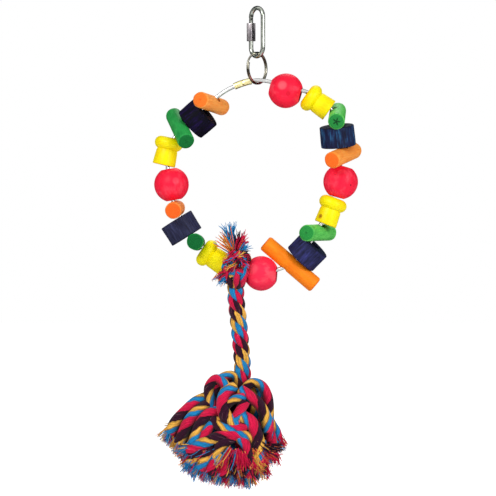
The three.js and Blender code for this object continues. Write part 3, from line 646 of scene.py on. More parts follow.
def woodFinish(name, dye, look, centre, turn, bore, seed, marks):
    # dyed wood whose grain runs along the piece
    side, deep, pale = (fromScreen(*shade) for shade in dye[:3])
    paint = Finish(name)
    local = paint.place(centre, turn)
    x, y, z = paint.parts(local)
    moved = paint.add("VectorMath", {"operation": "ADD"},
                      {0: local, 1: (seed, seed * 0.7, seed * 0.3)})
    streaks = paint.noise(paint.stretched(moved, (1, 1, 0.13)), 640, 4, 0.65)
    pores = paint.noise(paint.stretched(moved, (1, 1, 0.1)), 2200, 2, 0.6)
    blotch = paint.noise(moved, 95, 2, 0.5)
    grain = look["grain"]
    light = paint.ramp(streaks, 0.5, 0.72) * grain
    dark = paint.ramp(streaks, 0.5, 0.3) * grain + paint.ramp(pores, 0.52, 0.36) * 0.3 * grain
    patches = paint.ramp(paint.noise(paint.stretched(moved, (1, 1, 0.5)), 120, 3, 0.6), 0.5, 0.68)
    colour = paint.mixed(light + patches * look["patchy"], side, pale)
    colour = paint.mixed(dark + (blotch - 0.46) * 1.1, colour, deep)
    # faint rings left by the lathe on what was turned
    lathe = (z * (2 * math.pi / lathePitch) + blotch * 5.0).sine()
    heightMap = streaks * 0.3 + pores * 0.5 + lathe * look["lathe"]
    rough = dye[3] + (pores - 0.5) * 0.25
    if look["ends"]:
        wobble = paint.noise(moved, 260, 2)
        heartShift = (seed % 1 - 0.5) * 0.004
        ringX, ringY = x + heartShift, y - heartShift
        radius = (ringX * ringX + ringY * ringY) ** 0.5 + (wobble - 0.5) * 0.0012
        rings = (radius * (2 * math.pi / yearPitch)).sine()
        endPores = paint.noise(moved, 1500, 3, 0.7)
        ends = paint.ramp(abs(z), look["half"] - 0.0009, look["half"] - 0.0002)
        endColour = paint.mixed(0.1 + rings * 0.16 + (endPores - 0.5) * 0.5, deep, side)
        colour = paint.mixed(ends * look["ends"], colour, endColour)
        heightMap = heightMap + ends * (rings * 0.25 + endPores * 1.2)
        rough = rough + ends * 0.16
    # knots and marks, and on the red balls painted highlights
    for offset, size, shade, strength, rays in marks:
        point = tuple(Vector(centre) + Vector(offset) * mm)
        colour = markedOrHighlighted(paint, colour, point, size, shade, strength, rays)
    # painted shade: the bore's wall is darkened towards a dark copy of the deep shade
    if bore:
        across = paint.add("VectorMath", {"operation": "CROSS_PRODUCT"}, {0: local, 1: bore})
        far = paint.add("VectorMath", {"operation": "LENGTH"}, {0: across}, 1)
        inside = paint.ramp(far, look["bore"] + 0.0004, look["bore"])
    else:
        inside = paint.ramp((x * x + y * y) ** 0.5, look["bore"] + 0.0004, look["bore"] + 0.0001)
    colour = paint.mixed(inside * 0.7, colour, tuple(c * 0.45 for c in deep[:3]) + (1,))
    return paint.finished(Base_Color=colour, Roughness=rough, Coat_Weight=look["coat"], Coat_Roughness=0.3,
                          Specular_IOR_Level=0.14, Normal=paint.bump(heightMap, 0.00016, look["relief"]))


def place(piece, matrix):
    piece.data.transform(matrix)
    piece.data.update()


seeds = [0.37 + index * 1.31 for index in range(len(strung))]
for index, joint in enumerate(strung):
    node, centre = joint["child"], joint["pos_m"]
    wood, shape, number = node.split("_")
    look = shapeLooks[shape]
    name = wood + shape.capitalize() + number
    piece = turnedShapes[shape].copy()
    piece.data = turnedShapes[shape].data.copy()
    piece.name = piece.data.name = name
    scene.collection.objects.link(piece)
    facing = Vector(ownWays.get(node, joint["axis"])).to_track_quat("Z", "X")
    localBore = None
    if shape == "dowel":
        localBore = facing.inverted() @ Vector(joint["axis"])
        drill = cylinder(dowel["drillSides"], dowel["hole"] / 2, dowel["drillLength"])
        place(drill, localBore.to_track_quat("Z", "X").to_matrix().to_4x4())
        cut(piece, drill)
        # the cut leaves slivers where the drill meets an edge of the dowel
        editing(piece)
        bpy.ops.mesh.select_all(action="SELECT")
        bpy.ops.mesh.remove_doubles(threshold=sliver)
        bpy.ops.mesh.dissolve_degenerate(threshold=sliver)
        bpy.ops.object.mode_set(mode="OBJECT")
    # hand-cut pieces are never quite true
    rng = np.random.default_rng(100 + index)
    phase = rng.uniform(0, 6.28, 6)
    co = np.empty(len(piece.data.vertices) * 3)
    piece.data.vertices.foreach_get("co", co)
    co = co.reshape(-1, 3)
    far = np.linalg.norm(co[:, :2], axis=1)
    angle = np.arctan2(co[:, 1], co[:, 0])
    inner, fade = look["skin"]
    outer = np.clip((far - inner) / fade, 0, 1)
    swell = untrue["oval"] * np.sin(2 * angle + phase[0] + co[:, 2] * 180)
    swell = swell + untrue["facets"] * np.sin(5 * angle + phase[1])
    swell += untrue["along"] * np.sin(co[:, 2] * 260 + phase[2])
    co[:, :2] *= (1 - outer * (0.00012 + swell * 0.9) / np.maximum(far, 1e-5))[:, None]
    piece.data.vertices.foreach_set("co", co.ravel())
    rounded(piece)
    place(piece, Matrix.Translation(centre) @ facing.to_matrix().to_4x4())
    material = woodFinish(name + "Dye", ownColours.get(node, woodColours[wood]), look, centre,
                          tuple(facing.to_euler()), localBore, seeds[index], ownMarksAndHighlights.get(node, []))
    dress(piece, material, wood + "_wood")
    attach(piece, node)
    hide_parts(node)
for shape in turnedShapes.values():
    bpy.data.objects.remove(shape)
print("wooden pieces", len(strung))

# Metal fittings
hoop = {"wire": 0.0032, "centreX": -2.5, "peakZ": -58.2, "sides": 18, "steps": 420, "radius": 75.5349,
        "fine": 2001, "halfGap": 0.00025,
        "bends": [1.0419, 0.9850, 0.9241, 0.9400, 0.9717, 0.9479, 0.9320,
                  0.9373, 0.9678, 0.9903, 1.0565, 1.0671, 0.9929, 0.9161,
                  0.8791, 0.9108, 1.0141, 1.1121, 1.0988, 1.0379]}
bends = [hoop["radius"] * share for share in hoop["bends"]]
peakAngle = math.acos(-hoop["centreX"] / bends[0])
hoopCentreZ = hoop["peakZ"] - bends[0] * math.sin(peakAngle)
hoopKnots = []
for index, radius in enumerate(bends):
    angle = peakAngle + 2 * math.pi * index / len(bends)
    hoopKnots.append(Vector((hoop["centreX"] + radius * math.cos(angle), 0,
                             hoopCentreZ + radius * math.sin(angle))) * mm)
hoopLine = smoothRoute(hoopKnots, hoop["fine"], closed=True)
hoopFar = np.linspace(0, float(np.sum(stepLengths(hoopLine))), hoop["fine"])


def hoopStretch(start, end, count):
    return pointsAt(np.linspace(start, end, count) % hoopFar[-1], hoopFar, hoopLine)


def steelFinish(name, tint, rough, marks=()):
    # plated wire: faint smears and draw lines, with darker marks at the places given; on the split ring these
    # marks are painted reflections
    paint = Finish(name)
    local = paint.place()
    smear = paint.noise(local, 160, 3, 0.6)
    scratch = paint.noise(paint.stretched(local, (1, 1, 0.15)), 1800, 2, 0.6)
    colour = paint.mixed(paint.ramp(smear, 0.35, 0.7), fromScreen(*tint[0]), fromScreen(*tint[1]))
    x, y, z = paint.parts(local)
    for (px, py), size, shade in marks:
        spot = photoPoint(px, py, 0)
        far = ((x - spot.x) ** 2 + (z - spot.z) ** 2) ** 0.5
        colour = paint.mixed(paint.ramp(far, size, size * 0.35) * 0.85, colour, fromScreen(*shade))
    return paint.finished(Base_Color=colour, Metallic=1.0, Roughness=rough + smear * 0.06,
                          Normal=paint.bump(scratch, 0.00002, 0.2))


brightSteel = steelFinish("nickelSteel", ((214, 215, 214), (238, 238, 236)), 0.1)
linkSteel = steelFinish("linkSteel", ((150, 155, 146), (196, 200, 190)), 0.13,
                        (((251.6, 15.4), 0.0017, (24, 24, 20)), ((252, 19.2), 0.0015, (30, 30, 26))))
# the split ring's two dark marks and its reddish one are painted reflections of dark and red things around it
ringSteel = steelFinish("ringSteel", ((150, 146, 130), (206, 202, 186)), 0.14,
                        (((264.5, 61), 0.0042, (40, 30, 20)), ((248, 73), 0.004, (34, 26, 18)),
                         ((254, 84), 0.003, (70, 40, 34))))
nutSteel = steelFinish("nutSteel", ((146, 140, 146), (176, 168, 170)), 0.2)
paleBrass = steelFinish("paleFerrulePlate", ((255, 238, 170), (255, 250, 204)), 0.34,
                        (((242.5, 80.5), 0.0011, (120, 84, 40)), ((243.2, 84.5), 0.0011, (120, 84, 40))))

ferrule = {"from": 0.0046, "length": 0.015, "outer": 0.0028, "wall": 0.00085, "sides": 40, "steps": 44,
           "markWidth": 0.0009, "markDepth": 0.0005, "lean": 0.06,
           # each mark: place along the sleeve, height and the face that it is on
           "marks": [(0.0, 0.0016, -0.9), (0.0006, -0.0016, -0.9),
                     (0.0, 0.0016, 0.9), (0.0006, -0.0016, 0.9)]}
middle = ferrule["from"] + ferrule["length"] / 2
wireLine = hoopStretch(middle + hoop["halfGap"], middle - hoop["halfGap"] + hoopFar[-1], hoop["steps"])
hoopWire = pieceFrom("hoopWire", [sweep(wireLine, circle(hoop["wire"] / 2, hoop["sides"]))])
faceOutwards(hoopWire)
dress(hoopWire, brightSteel, "steel")
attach(hoopWire, "hoop")
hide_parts("hoop_wire")

sides = ferrule["sides"]
sleeveLine = hoopStretch(ferrule["from"], ferrule["from"] + ferrule["length"], ferrule["steps"])
outerWall, innerWall = (sweep(sleeveLine, circle(radius, sides), capped=False)
                        for radius in (ferrule["outer"], ferrule["outer"] - ferrule["wall"]))
count = len(outerWall["points"])
walls = {"points": np.concatenate([outerWall["points"], innerWall["points"]]),
         "faces": outerWall["faces"] + [tuple(count + v for v in reversed(f)) for f in innerWall["faces"]],
         "uvs": outerWall["uvs"] + innerWall["uvs"]}
for end in (0, count - sides):
    for k in range(sides):
        m = (k + 1) % sides
        walls["faces"].append((end + k, end + m, count + end + m, count + end + k))
        walls["uvs"] += [(0, 0)] * 4
axisPoints = np.repeat(sleeveLine, sides, axis=0)
sleeveMiddle = sleeveLine[len(sleeveLine) // 2]
sleeveAlong = sleeveLine[-1] - sleeveLine[0]
sleeveAlong /= np.linalg.norm(sleeveAlong)
outerPoints = walls["points"][:count]
share = np.repeat(np.linspace(0, 1, len(sleeveLine)), sides)
outerPoints[:, 1] *= 1 - ferrule["lean"] * np.clip((0.42 - share) / 0.4, 0, 1)
for along, height, face in ferrule["marks"]:
    spot = sleeveMiddle + sleeveAlong * along + np.array([0, face * ferrule["outer"], height * 0.6])
    gap = np.linalg.norm(outerPoints - spot, axis=1)
    dip = np.exp(-(gap / ferrule["markWidth"]) ** 2) * ferrule["markDepth"]
    inward = axisPoints - outerPoints
    inward /= np.linalg.norm(inward, axis=1)[:, None]
    outerPoints += inward * dip[:, None]
walls["points"][:count] = outerPoints
crimpSleeve = pieceFrom("crimpSleeve", [walls])
faceOutwards(crimpSleeve)
rounded(crimpSleeve, 40)
dress(crimpSleeve, paleBrass, "ferrule_metal")
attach(crimpSleeve, "hoop")
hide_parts("crimp_ferrule")

# Quick link: one bent wire and the thread that shows above its nut
link = {"height": 43.8, "width": 18.5, "wire": 3.7, "turn": -49, "threadPitch": 0.001, "shown": 6,
        "nutLength": 15, "opening": 3.8, "acrossFlats": 7, "nutTurn": 5, "nutPlay": 0.0002,
        "core": 0.84, "threadSteps": 22, "threadReach": 90, "nutOver": 1.2, "nutChamfer": 0.00085,
        "nutEdge": 0.00018, "steps": 260, "sides": 24}
legX = (link["width"] - link["wire"]) / 2
bowTopZ = link["wire"] / 2 - legX
bowBottomZ = link["wire"] * 1.5 - link["height"] + legX
nutTopZ = bowTopZ - link["shown"] + link["nutOver"]
nutBottomZ = nutTopZ - link["nutLength"]
stubTopZ = nutBottomZ + link["shown"]
turnLink = Matrix.Rotation(math.radians(link["turn"]), 4, "Z")


def linkBow(z, start, stop):
    angles = [math.radians(start + (stop - start) * k / 10) for k in range(11)]
    return [(legX * math.cos(a), 0, z + legX * math.sin(a)) for a in angles]


linkRoute = [(-legX, 0, stubTopZ), (-legX, 0, (stubTopZ + bowTopZ) / 2)] + linkBow(bowTopZ, 180, 0)
linkRoute += [(legX, 0, bowTopZ + (bowBottomZ - bowTopZ) * s) for s in (0.25, 0.5, 0.75)]
linkRoute += linkBow(bowBottomZ, 0, -180) + [(-legX, 0, stubTopZ - link["opening"])]
linkLine = smoothRoute([turnLink @ Vector(p) * mm for p in linkRoute], link["steps"])
threaded = (linkLine[:, 2] > stubTopZ * mm) & (linkLine[:, 2] < bowTopZ * mm + 0.0002)
threaded &= np.arange(len(linkLine)) < link["threadReach"]
thin = np.where(threaded, link["core"], 1.0)
linkBody = sweep(linkLine, circle(link["wire"] / 2 * mm, link["sides"]), thin)
threadTurns = (bowTopZ - stubTopZ) * mm / link["threadPitch"]
steps = int(threadTurns * link["threadSteps"])
legPlace = turnLink @ Vector((-legX, 0, 0)) * mm
reach = link["wire"] / 2 * link["core"] * mm
threadLine = []
for k in range(steps + 1):
    angle = 2 * math.pi * k / link["threadSteps"]
    z = stubTopZ * mm + k / steps * (bowTopZ - stubTopZ) * mm
    threadLine.append((legPlace.x + reach * math.cos(angle), legPlace.y + reach * math.sin(angle), z))
ridge = [(0.00034, 0.00004), (0.00006, 0.0003), (-0.0002, 0.0003), (-0.0002, -0.0003), (0.00006, -0.0003)]


def sweepAbout(line, outline, centre):
    # a small outline carried round an upright axis, its first way pointing out from the axis
    points = []
    for spot in line:
        out = Vector((spot[0] - centre.x, spot[1] - centre.y, 0)).normalized()
        points += [Vector(spot) + out * a + Vector((0, 0, b)) for a, b in outline]
    return tube(points, len(outline), np.arange(len(line)) * mm)


quickLink = pieceFrom("quickLink", [linkBody, sweepAbout(threadLine, ridge, legPlace)])
faceOutwards(quickLink)
rounded(quickLink, 50)
dress(quickLink, linkSteel, "steel")
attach(quickLink, "link")
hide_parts("quick_link")

corner = link["acrossFlats"] / math.sqrt(3) * mm
nutHalf = link["nutLength"] * mm / 2
linkNut = cylinder(6, corner, nutHalf * 2 + 0.002)
linkNut.name = linkNut.data.name = "linkNut"
turned = cylinder(96, corner * 1.01, nutHalf * 2)
editing(turned)
choose(turned, "EDGE", lambda a, b: abs(a.z - b.z) < 1e-6)
bpy.ops.mesh.bevel(offset=link["nutChamfer"], segments=2, profile=0.5)
bpy.ops.object.mode_set(mode="OBJECT")
cut(linkNut, turned, "INTERSECT")
cut(linkNut, cylinder(48, link["wire"] / 2 * mm + link["nutPlay"], 0.02))
applied(linkNut, "BEVEL", width=link["nutEdge"], segments=2, limit_method="ANGLE",
        angle_limit=math.radians(35))
rounded(linkNut, 25)
print("nut", len(linkNut.data.vertices))
place(linkNut, Matrix.Translation((legPlace.x, legPlace.y, (nutTopZ + nutBottomZ) / 2 * mm))
      @ Matrix.Rotation(math.radians(link["nutTurn"]), 4, "Z"))
dress(linkNut, nutSteel, "steel")
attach(linkNut, "nut")
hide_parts("quick_link_nut")

# Split ring: a flat strip wound twice, stepping over where its ends lie
ring = {"diameter": 27.4, "band": 1.7, "thick": 0.9, "gap": 0.35, "turn": 54, "jog": 60, "z": -48.1,
        "edge": 0.28, "steps": 220, "startsAt": 130}
ringMiddle = (ring["diameter"] - ring["band"]) / 2
turnRing = Matrix.Translation((0, 0, ring["z"] * mm)) @ Matrix.Rotation(math.radians(ring["turn"]), 4, "Z")
strip, ringPoints = [], []
flatX, flatY = ring["band"] / 2 - ring["edge"], ring["thick"] / 2 - ring["edge"]
for cx, cy, start in ((1, 1, 0), (-1, 1, 90), (-1, -1, 180), (1, -1, 270)):
    for k in range(4):
        a = math.radians(start + 30 * k)
        strip.append((cx * flatX + ring["edge"] * math.cos(a), cy * flatY + ring["edge"] * math.sin(a)))
for i in range(ring["steps"] + 1):
    turn = ring["jog"] / 2 + (720 - ring["jog"]) * i / ring["steps"]
    crossing = min(1, max(0, (turn - (360 - ring["jog"] / 2)) / ring["jog"]))
    level = (crossing * crossing * (3 - 2 * crossing) - 0.5) * (ring["thick"] + ring["gap"])
    angle = math.radians(turn + ring["startsAt"])
    for a, b in strip:
        r = ringMiddle + a
        ringPoints.append(turnRing @ (Vector((r * math.cos(angle), level + b, r * math.sin(angle))) * mm))
ringFar = np.arange(ring["steps"] + 1) * 0.0007
splitRing = pieceFrom("splitRing", [tube(ringPoints, len(strip), ringFar)])
faceOutwards(splitRing)
rounded(splitRing, 45)
dress(splitRing, ringSteel, "steel")
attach(splitRing, "ring")
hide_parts("split_ring")
print("metal fittings made")

# Knots and tassel: soft strands of yarn, read off the enlarged photograph
openYarns = {"crimson": 0.34, "blue": 0.18, "yellow": 0.18, "purple": 0.3}
tasselYarn = yarnFinish("cottonOpenStrand", rope["yarnPitch"], 22, openYarns, 0.03)
strandLook = {"thin": 0.9, "full": 1.0, "sides": 22}


def knotPoint(zx, zy, depth):
    # a place read off the top knot as it was enlarged ten times
    return photoPoint(195 + zx / 10 - 1, 205 + zy / 10 + 2, depth)


def softStrand(points, radius, start=0.0, flat=0.85):
    # one soft strand: slightly flattened, and start is where its yarns begin, as a share of a turn
    line = smoothRoute(points, max(14, 9 * len(points)))
    share = np.linspace(0, 1, len(line))
    scale = radius * (strandLook["thin"] + (strandLook["full"] - strandLook["thin"]) * share)
    scale = scale * (1 + 0.05 * np.sin(share * 9 + start * 7))
    part = sweep(line, [(x, y * flat) for x, y in circle(1.0, strandLook["sides"])], scale)
    part["uvs"] = [(u + start, v) for u, v in part["uvs"]]
    return part


def backStrand(share):
    # a route of the fan at the back, from its left to its right
    lean = math.radians(-74 + 128 * share)
    sin, cos = math.sin(lean), math.cos(lean)
    reach = 47 if lean < 0 else 47 - 12 * sin
    depth = 10 + 9 * math.sin(math.pi * share)
    route = [(6 * sin, 10, 10), (reach * 0.45 * sin, depth + 6, -cos * reach * 0.3),
             (reach * 0.8 * sin, depth + 1, -cos * reach * 0.75), (reach * sin, depth - 3, -cos * reach - 3)]
    return [(round(x - 1.7, 1), round(y, 1), round(z + 3.6, 1)) for x, y, z in route]


# the middle of the bottom knot, below the rope's lower end
tasselHeart = Vector((rope["top"][0] + 0.0056 - 0.0083, 0, rope["top"][2] - 0.0892 - 0.0205))
# each strand's radius, whether its end is frayed, and its route from the knot's middle, in millimetres
tasselStrands = [
    (5.2, False, [(6.6, -3, 25.4), (0.4, -4, 33.9), (-6.3, -7, 33.5), (-12.6, -9, 26.9),
      (-17.2, -9, 17.1), (-22.4, -9, 8.8)]),
    (5.3, False, [(-2.7, -13, 19.2), (-7.4, -15, 28.5), (-13.6, -14, 31.8), (-19.1, -13, 25.4),
      (-18.1, -12, 15), (-14.1, -10, 4.6)]),
    (5.6, False, [(-15.2, 1, 29.5), (-6.9, 0, 24.4), (0.4, 0, 20.2), (6.6, 0, 10.9)]),
    (6.6, False, [(1.4, -14, 25.4), (-5.8, -18, 20.2), (-8.4, -20, 10.9), (-4.8, -20, 0.5),
      (3.5, -18, -5.7)]),
    (5.4, False, [(-17.2, -15, 2.6), (-14.1, -19, -4.7), (-3.7, -21, -8.8), (8.7, -20, -7.3),
      (17, -16, -0.5)]),
    (4.4, False, [(-4.8, -19, 9.8), (1.4, -22, 15.2), (9.7, -20, 17.9)]),
    (5.4, False, [(0.4, -18, -3.7), (5.6, -21, 5.2), (10.3, -20, 14)]),
    (5.3, False, [(8.2, -10, 20.7), (16, -10, 28.5), (23.7, -9, 26.4), (28.4, -9, 18.1), (30, -8, 6.7),
      (30, -8, -6.8), (30.5, -6, -19.2)]),
    (6, False, [(6.6, -15, 22.8), (13.9, -18, 17.9), (21.7, -18, 11.4), (26.9, -16, 1.5),
      (29.5, -13, -10.9)]),
    (6, False, [(8.7, 1, 25.4), (17, 0, 21.2), (23.2, 0, 10.9), (26.3, 0, -4.7), (27.4, 0, -17.1)]),
    (6.8, False, [(7.7, -18, 1.5), (15.4, -20, -3.7), (20.1, -20, -14), (22.2, -19, -25.4),
      (22.7, -16, -35.8)]),
    (6.4, True, [(-21.4, -6, 16.1), (-30.7, -8, 11.9), (-40.1, -9, 3.6), (-46.8, -9, -4.7),
      (-51, -8, -13.5)]),
    (6.2, True, [(-16.2, -10, 12.9), (-25.5, -13, 7.8), (-33.8, -14, -0.5), (-39.5, -14, -10.9),
      (-43.7, -12, -21.3)]),
    (5.8, True, [(-12, -14, 5.7), (-20.3, -17, 2.6), (-27.1, -18, -5.7), (-30.2, -17, -15.1),
      (-32.8, -15, -24.4)]),
    (5.4, False, [(-10, -15, -1.6), (-17.8, -18, -5.7), (-21.9, -19, -13), (-24.5, -18, -21.3)]),
    (5.8, True, [(17, -17, -17.1), (6.6, -21, -13.5), (-4.8, -22, -13.5), (-16.2, -22, -17.1),
      (-27.6, -21, -22.3), (-36.4, -18, -27.5)]),
    (5.6, False, [(1.4, -21, -16.1), (-7.9, -23, -20.3), (-12, -23, -27.5), (-13.1, -21, -36.9)]),
    (5.4, False, [(5.6, -20, -16.1), (11.3, -22, -22.3), (13.4, -21, -31.7), (13.4, -18, -43.1)]),
    (6, True, [(-21.4, -19, -23.4), (-29.7, -19, -30.6), (-34.9, -17, -36.9)]),
    (6, True, [(-16.2, -21, -25.4), (-22.4, -20, -33.7), (-26.6, -18, -42)]),
    (5.8, True, [(-10, -22, -27.5), (-15.2, -21, -36.9), (-18.3, -18, -45.2)]),
    (5.8, True, [(-3.7, -22, -27.5), (-4.8, -21, -37.9), (-7.9, -18, -47.2)]),
    (5.6, True, [(2.5, -21, -26.5), (5.6, -20, -36.9), (2.5, -17, -47.2)]),
    (5.6, True, [(8.7, -20, -27.5), (12.9, -19, -38.9), (13.4, -16, -48.3)]),
    (5.6, True, [(23.2, -15, -19.2), (25.3, -14, -30.6), (24.3, -12, -41)]),
    (5.4, True, [(29.5, -7, -8.8), (32.6, -6, -19.2), (32, -5, -30.6)]),
    (5.2, True, [(30.5, -4, -2.6), (35.2, -3, -10.9), (37.8, -2, -19.2)]),
]
tasselStrands += [(6.2, True, backStrand(index / 12)) for index in range(13)]
tasselStrands += [
    (6, False, [(-13.7, 9, -2.4), (-11.7, 15, 13.6), (0.3, 17, 19.6), (10.3, 15, 11.6), (10.3, 10, -4.4)]),
    (6, False, [(12.3, 12, 17.6), (0.3, 18, 5.6), (-11.7, 17, -4.4), (-21.7, 13, -8.4)]),
    (14, False, [(0.3, -1, 21.6), (-3.7, 0, 3.6), (-6.7, 0, -14.4)]),
    (12, False, [(-25.7, 0, -18.4), (-7.7, 0, -24.4), (12.3, 0, -22.4)]),
    # these two fill the hollow behind the loops
    (5.2, False, [(-17, 4, 24), (-9, 4, 30.5), (0, 4, 30), (8, 4, 22)]),
    (6.6, False, [(6, 2, 16), (14, 2, 9), (20, 1, -2), (24, 0, -12)]),
]
strandRandom = random.Random(7)
tasselParts, frayedEnds = [], []
for radius, frayed, route in tasselStrands:
    points = [tasselHeart + Vector(p) * mm for p in route]
    tasselParts.append(softStrand(points, radius * mm, start=strandRandom.random()))
    if frayed:
        frayedEnds.append((points[-1], (points[-1] - points[-2]).normalized(), radius * mm))
tasselKnot = pieceFrom("tasselKnot", tasselParts)
faceOutwards(tasselKnot)
# painted shade in the hollows between the tassel's strands
storeHollowShade(tasselKnot, tasselHeart + Vector((0, 4, -6)) * mm)
dress(tasselKnot, tasselYarn, "cotton_rope")
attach(tasselKnot, "rope")
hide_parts("tassel")


def fibre(start, direction, length, radius, rng, curl):
    # one loose yarn that bends more towards its end
    bits = 5
    drift = Vector([rng.uniform(-1, 1) for _ in range(3)]) * curl
    way, line = direction.copy(), [start]
    for bit in range(bits):
        way = (way + drift * (bit / bits) + Vector((0, 0, -0.02))).normalized()
        line.append(line[-1] + way * length / bits)
    return sweep(np.array(line), circle(radius, 3), (1, 1, 1, 0.95, 0.85, 0.4))


def fringe(name, tufts, seed, thread, curl=0.3, stray=0.1, pure=0.8):
    rng = random.Random(seed)
    parts, tones = [], []
    for base, direction, length, spread, count, tone in tufts:
        for _ in range(count):
            scatter = Vector([rng.gauss(0, 1) for _ in range(3)])
            start = base + scatter * spread * 0.45
            sway = Vector([rng.gauss(0, 1) for _ in range(3)])
            way = (direction + scatter * stray + sway * stray).normalized()
            size = thread * rng.uniform(0.75, 1.25)
            parts.append(fibre(start, way, length * rng.uniform(0.66, 1.06), size, rng, curl))
            tones.append(tone if rng.random() < pure else rng.choice((0.1, 0.35, 0.58, 0.68, 0.9)))
    return pieceFrom(name, parts, tones)


threadFinish = fringeFinish("cottonLooseThread")
yarnTones = (0.1, 0.35, 0.58, 0.9)
# the tufts at the strands' ends: their length, width as a share of the radius, and how they open and sag
fray = {"length": (0.0115, 0.0145), "width": 0.42, "setBack": 0.003, "open": 0.32, "sag": -0.12,
        "threads": 34, "thread": 0.00027}
tufts = []
tuftRandom = random.Random(21)
for end, direction, radius in frayedEnds:
    # the four yarns of a strand part into clumps
    across = direction.cross(Vector((0, 1, 0.2))).normalized()
    up = direction.cross(across)
    for index, tone in enumerate(yarnTones):
        angle = tuftRandom.random() * 0.8 + math.pi / 2 * index
        out = across * math.cos(angle) + up * math.sin(angle)
        base = end - direction * fray["setBack"] + out * radius * 0.5
        way = (direction + out * fray["open"] + Vector((0, 0, fray["sag"]))).normalized()
        tufts.append((base, way, tuftRandom.uniform(*fray["length"]), radius * fray["width"],
                      fray["threads"], tone))
tasselFringe = fringe("tasselFringe", tufts, 5, fray["thread"])
dress(tasselFringe, threadFinish, "cotton_rope")
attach(tasselFringe, "rope")

# opened yarn that hangs over the strands' ends: outline as bearing from straight down, and reach in pixels
fanMiddle = (236, 424)
fanOutline = ((-88, 70), (-56, 63), (-35, 61), (-10, 60), (17, 62), (36, 56), (66, 51), (80, 48))
# each layer: side, how many, where it starts and ends as shares of the outline, its depths, its width
fanLayers = [
    (-1, 24, 0.72, 1.0, 19, 12, 67), (-1, 17, 0.6, 0.88, 24, 19, 60), (-1, 6, 0.46, 0.74, 28, 25, 24),
    (1, 22, 0.66, 1.0, 14, 9, 67), (1, 16, 0.48, 0.84, 22, 16, 62),
    (-1, 18, 0.6, 0.93, 7, 5, 64), (1, 18, 0.6, 0.93, 3, 3, 64),
]
looseYarn = {"spread": 0.0021, "threads": 34, "thread": 0.00032}
fanTones = (0.1, 0.9, 0.35, 0.1, 0.58, 0.9, 0.68, 0.1, 0.9, 0.35)
fanRandom = random.Random(40)
looseTufts = []
for side, count, first, last, deepFirst, deepLast, wide in fanLayers:
    for index in range(count):
        bearing = -wide - 4 + 2 * wide * (index + fanRandom.uniform(0.2, 0.8)) / count
        root = first + fanRandom.uniform(-0.08, 0.07)
        reach = float(np.interp(bearing, *zip(*fanOutline)))
        ends = []
        for share, deep, sway in ((root, deepFirst, 0), (last, deepLast, 6)):
            angle = math.radians(bearing + fanRandom.uniform(-1, 1) * sway)
            far = reach * share * fanRandom.uniform(0.95, 1.03)
            ends.append(photoPoint(fanMiddle[0] + far * math.sin(angle), fanMiddle[1] + far * math.cos(angle),
                                   side * deep))
        way = ends[1] - ends[0]
        tone = fanTones[fanRandom.randrange(len(fanTones))]
        looseTufts.append((ends[0], way.normalized(), way.length, looseYarn["spread"],
                           looseYarn["threads"], tone))
tasselLooseYarn = fringe("tasselLooseYarn", looseTufts, 6, looseYarn["thread"], 0.4, 0.08, 0.84)
dress(tasselLooseYarn, threadFinish, "cotton_rope")
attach(tasselLooseYarn, "rope")
print("tassel made", len(tufts), len(looseTufts))

# Top knot round the hoop wire
topStrands = [
    ([(300, 610, -6), (360, 520, -11), (450, 470, -11), (520, 500, -5), (530, 580, 3)], 3.9, 0.1),
    ([(290, 660, -4), (350, 600, -11), (440, 560, -13), (520, 590, -8), (545, 640, 0)], 4.0, 0.55),
    ([(330, 730, -4), (370, 670, -11), (440, 640, -13), (510, 650, -9), (540, 700, -2)], 3.9, 0.35),
    ([(400, 560, -10), (420, 640, -13.5), (430, 720, -11), (440, 790, -5)], 3.6, 0.05),
    ([(340, 560, -8), (330, 640, -11), (350, 720, -9), (390, 780, -4)], 3.6, 0.8),
    ([(480, 540, -8), (500, 620, -12), (490, 710, -10), (470, 780, -4)], 3.6, 0.25),
    ([(300, 600, 6), (370, 520, 11), (460, 480, 11), (530, 520, 5)], 4.0, 0.4),
    ([(300, 680, 5), (360, 610, 12), (450, 580, 13), (530, 620, 7)], 4.0, 0.7),
    ([(330, 740, 4), (380, 680, 11), (450, 660, 12), (520, 690, 6)], 3.9, 0.15),
]
topParts = [softStrand([knotPoint(*p) for p in points], size * mm, start=start, flat=0.9)
            for points, size, start in topStrands]
topKnot = pieceFrom("topKnot", topParts)
faceOutwards(topKnot)
dress(topKnot, tasselYarn, "cotton_rope")
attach(topKnot, "rope")
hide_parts("rope_top_knot")

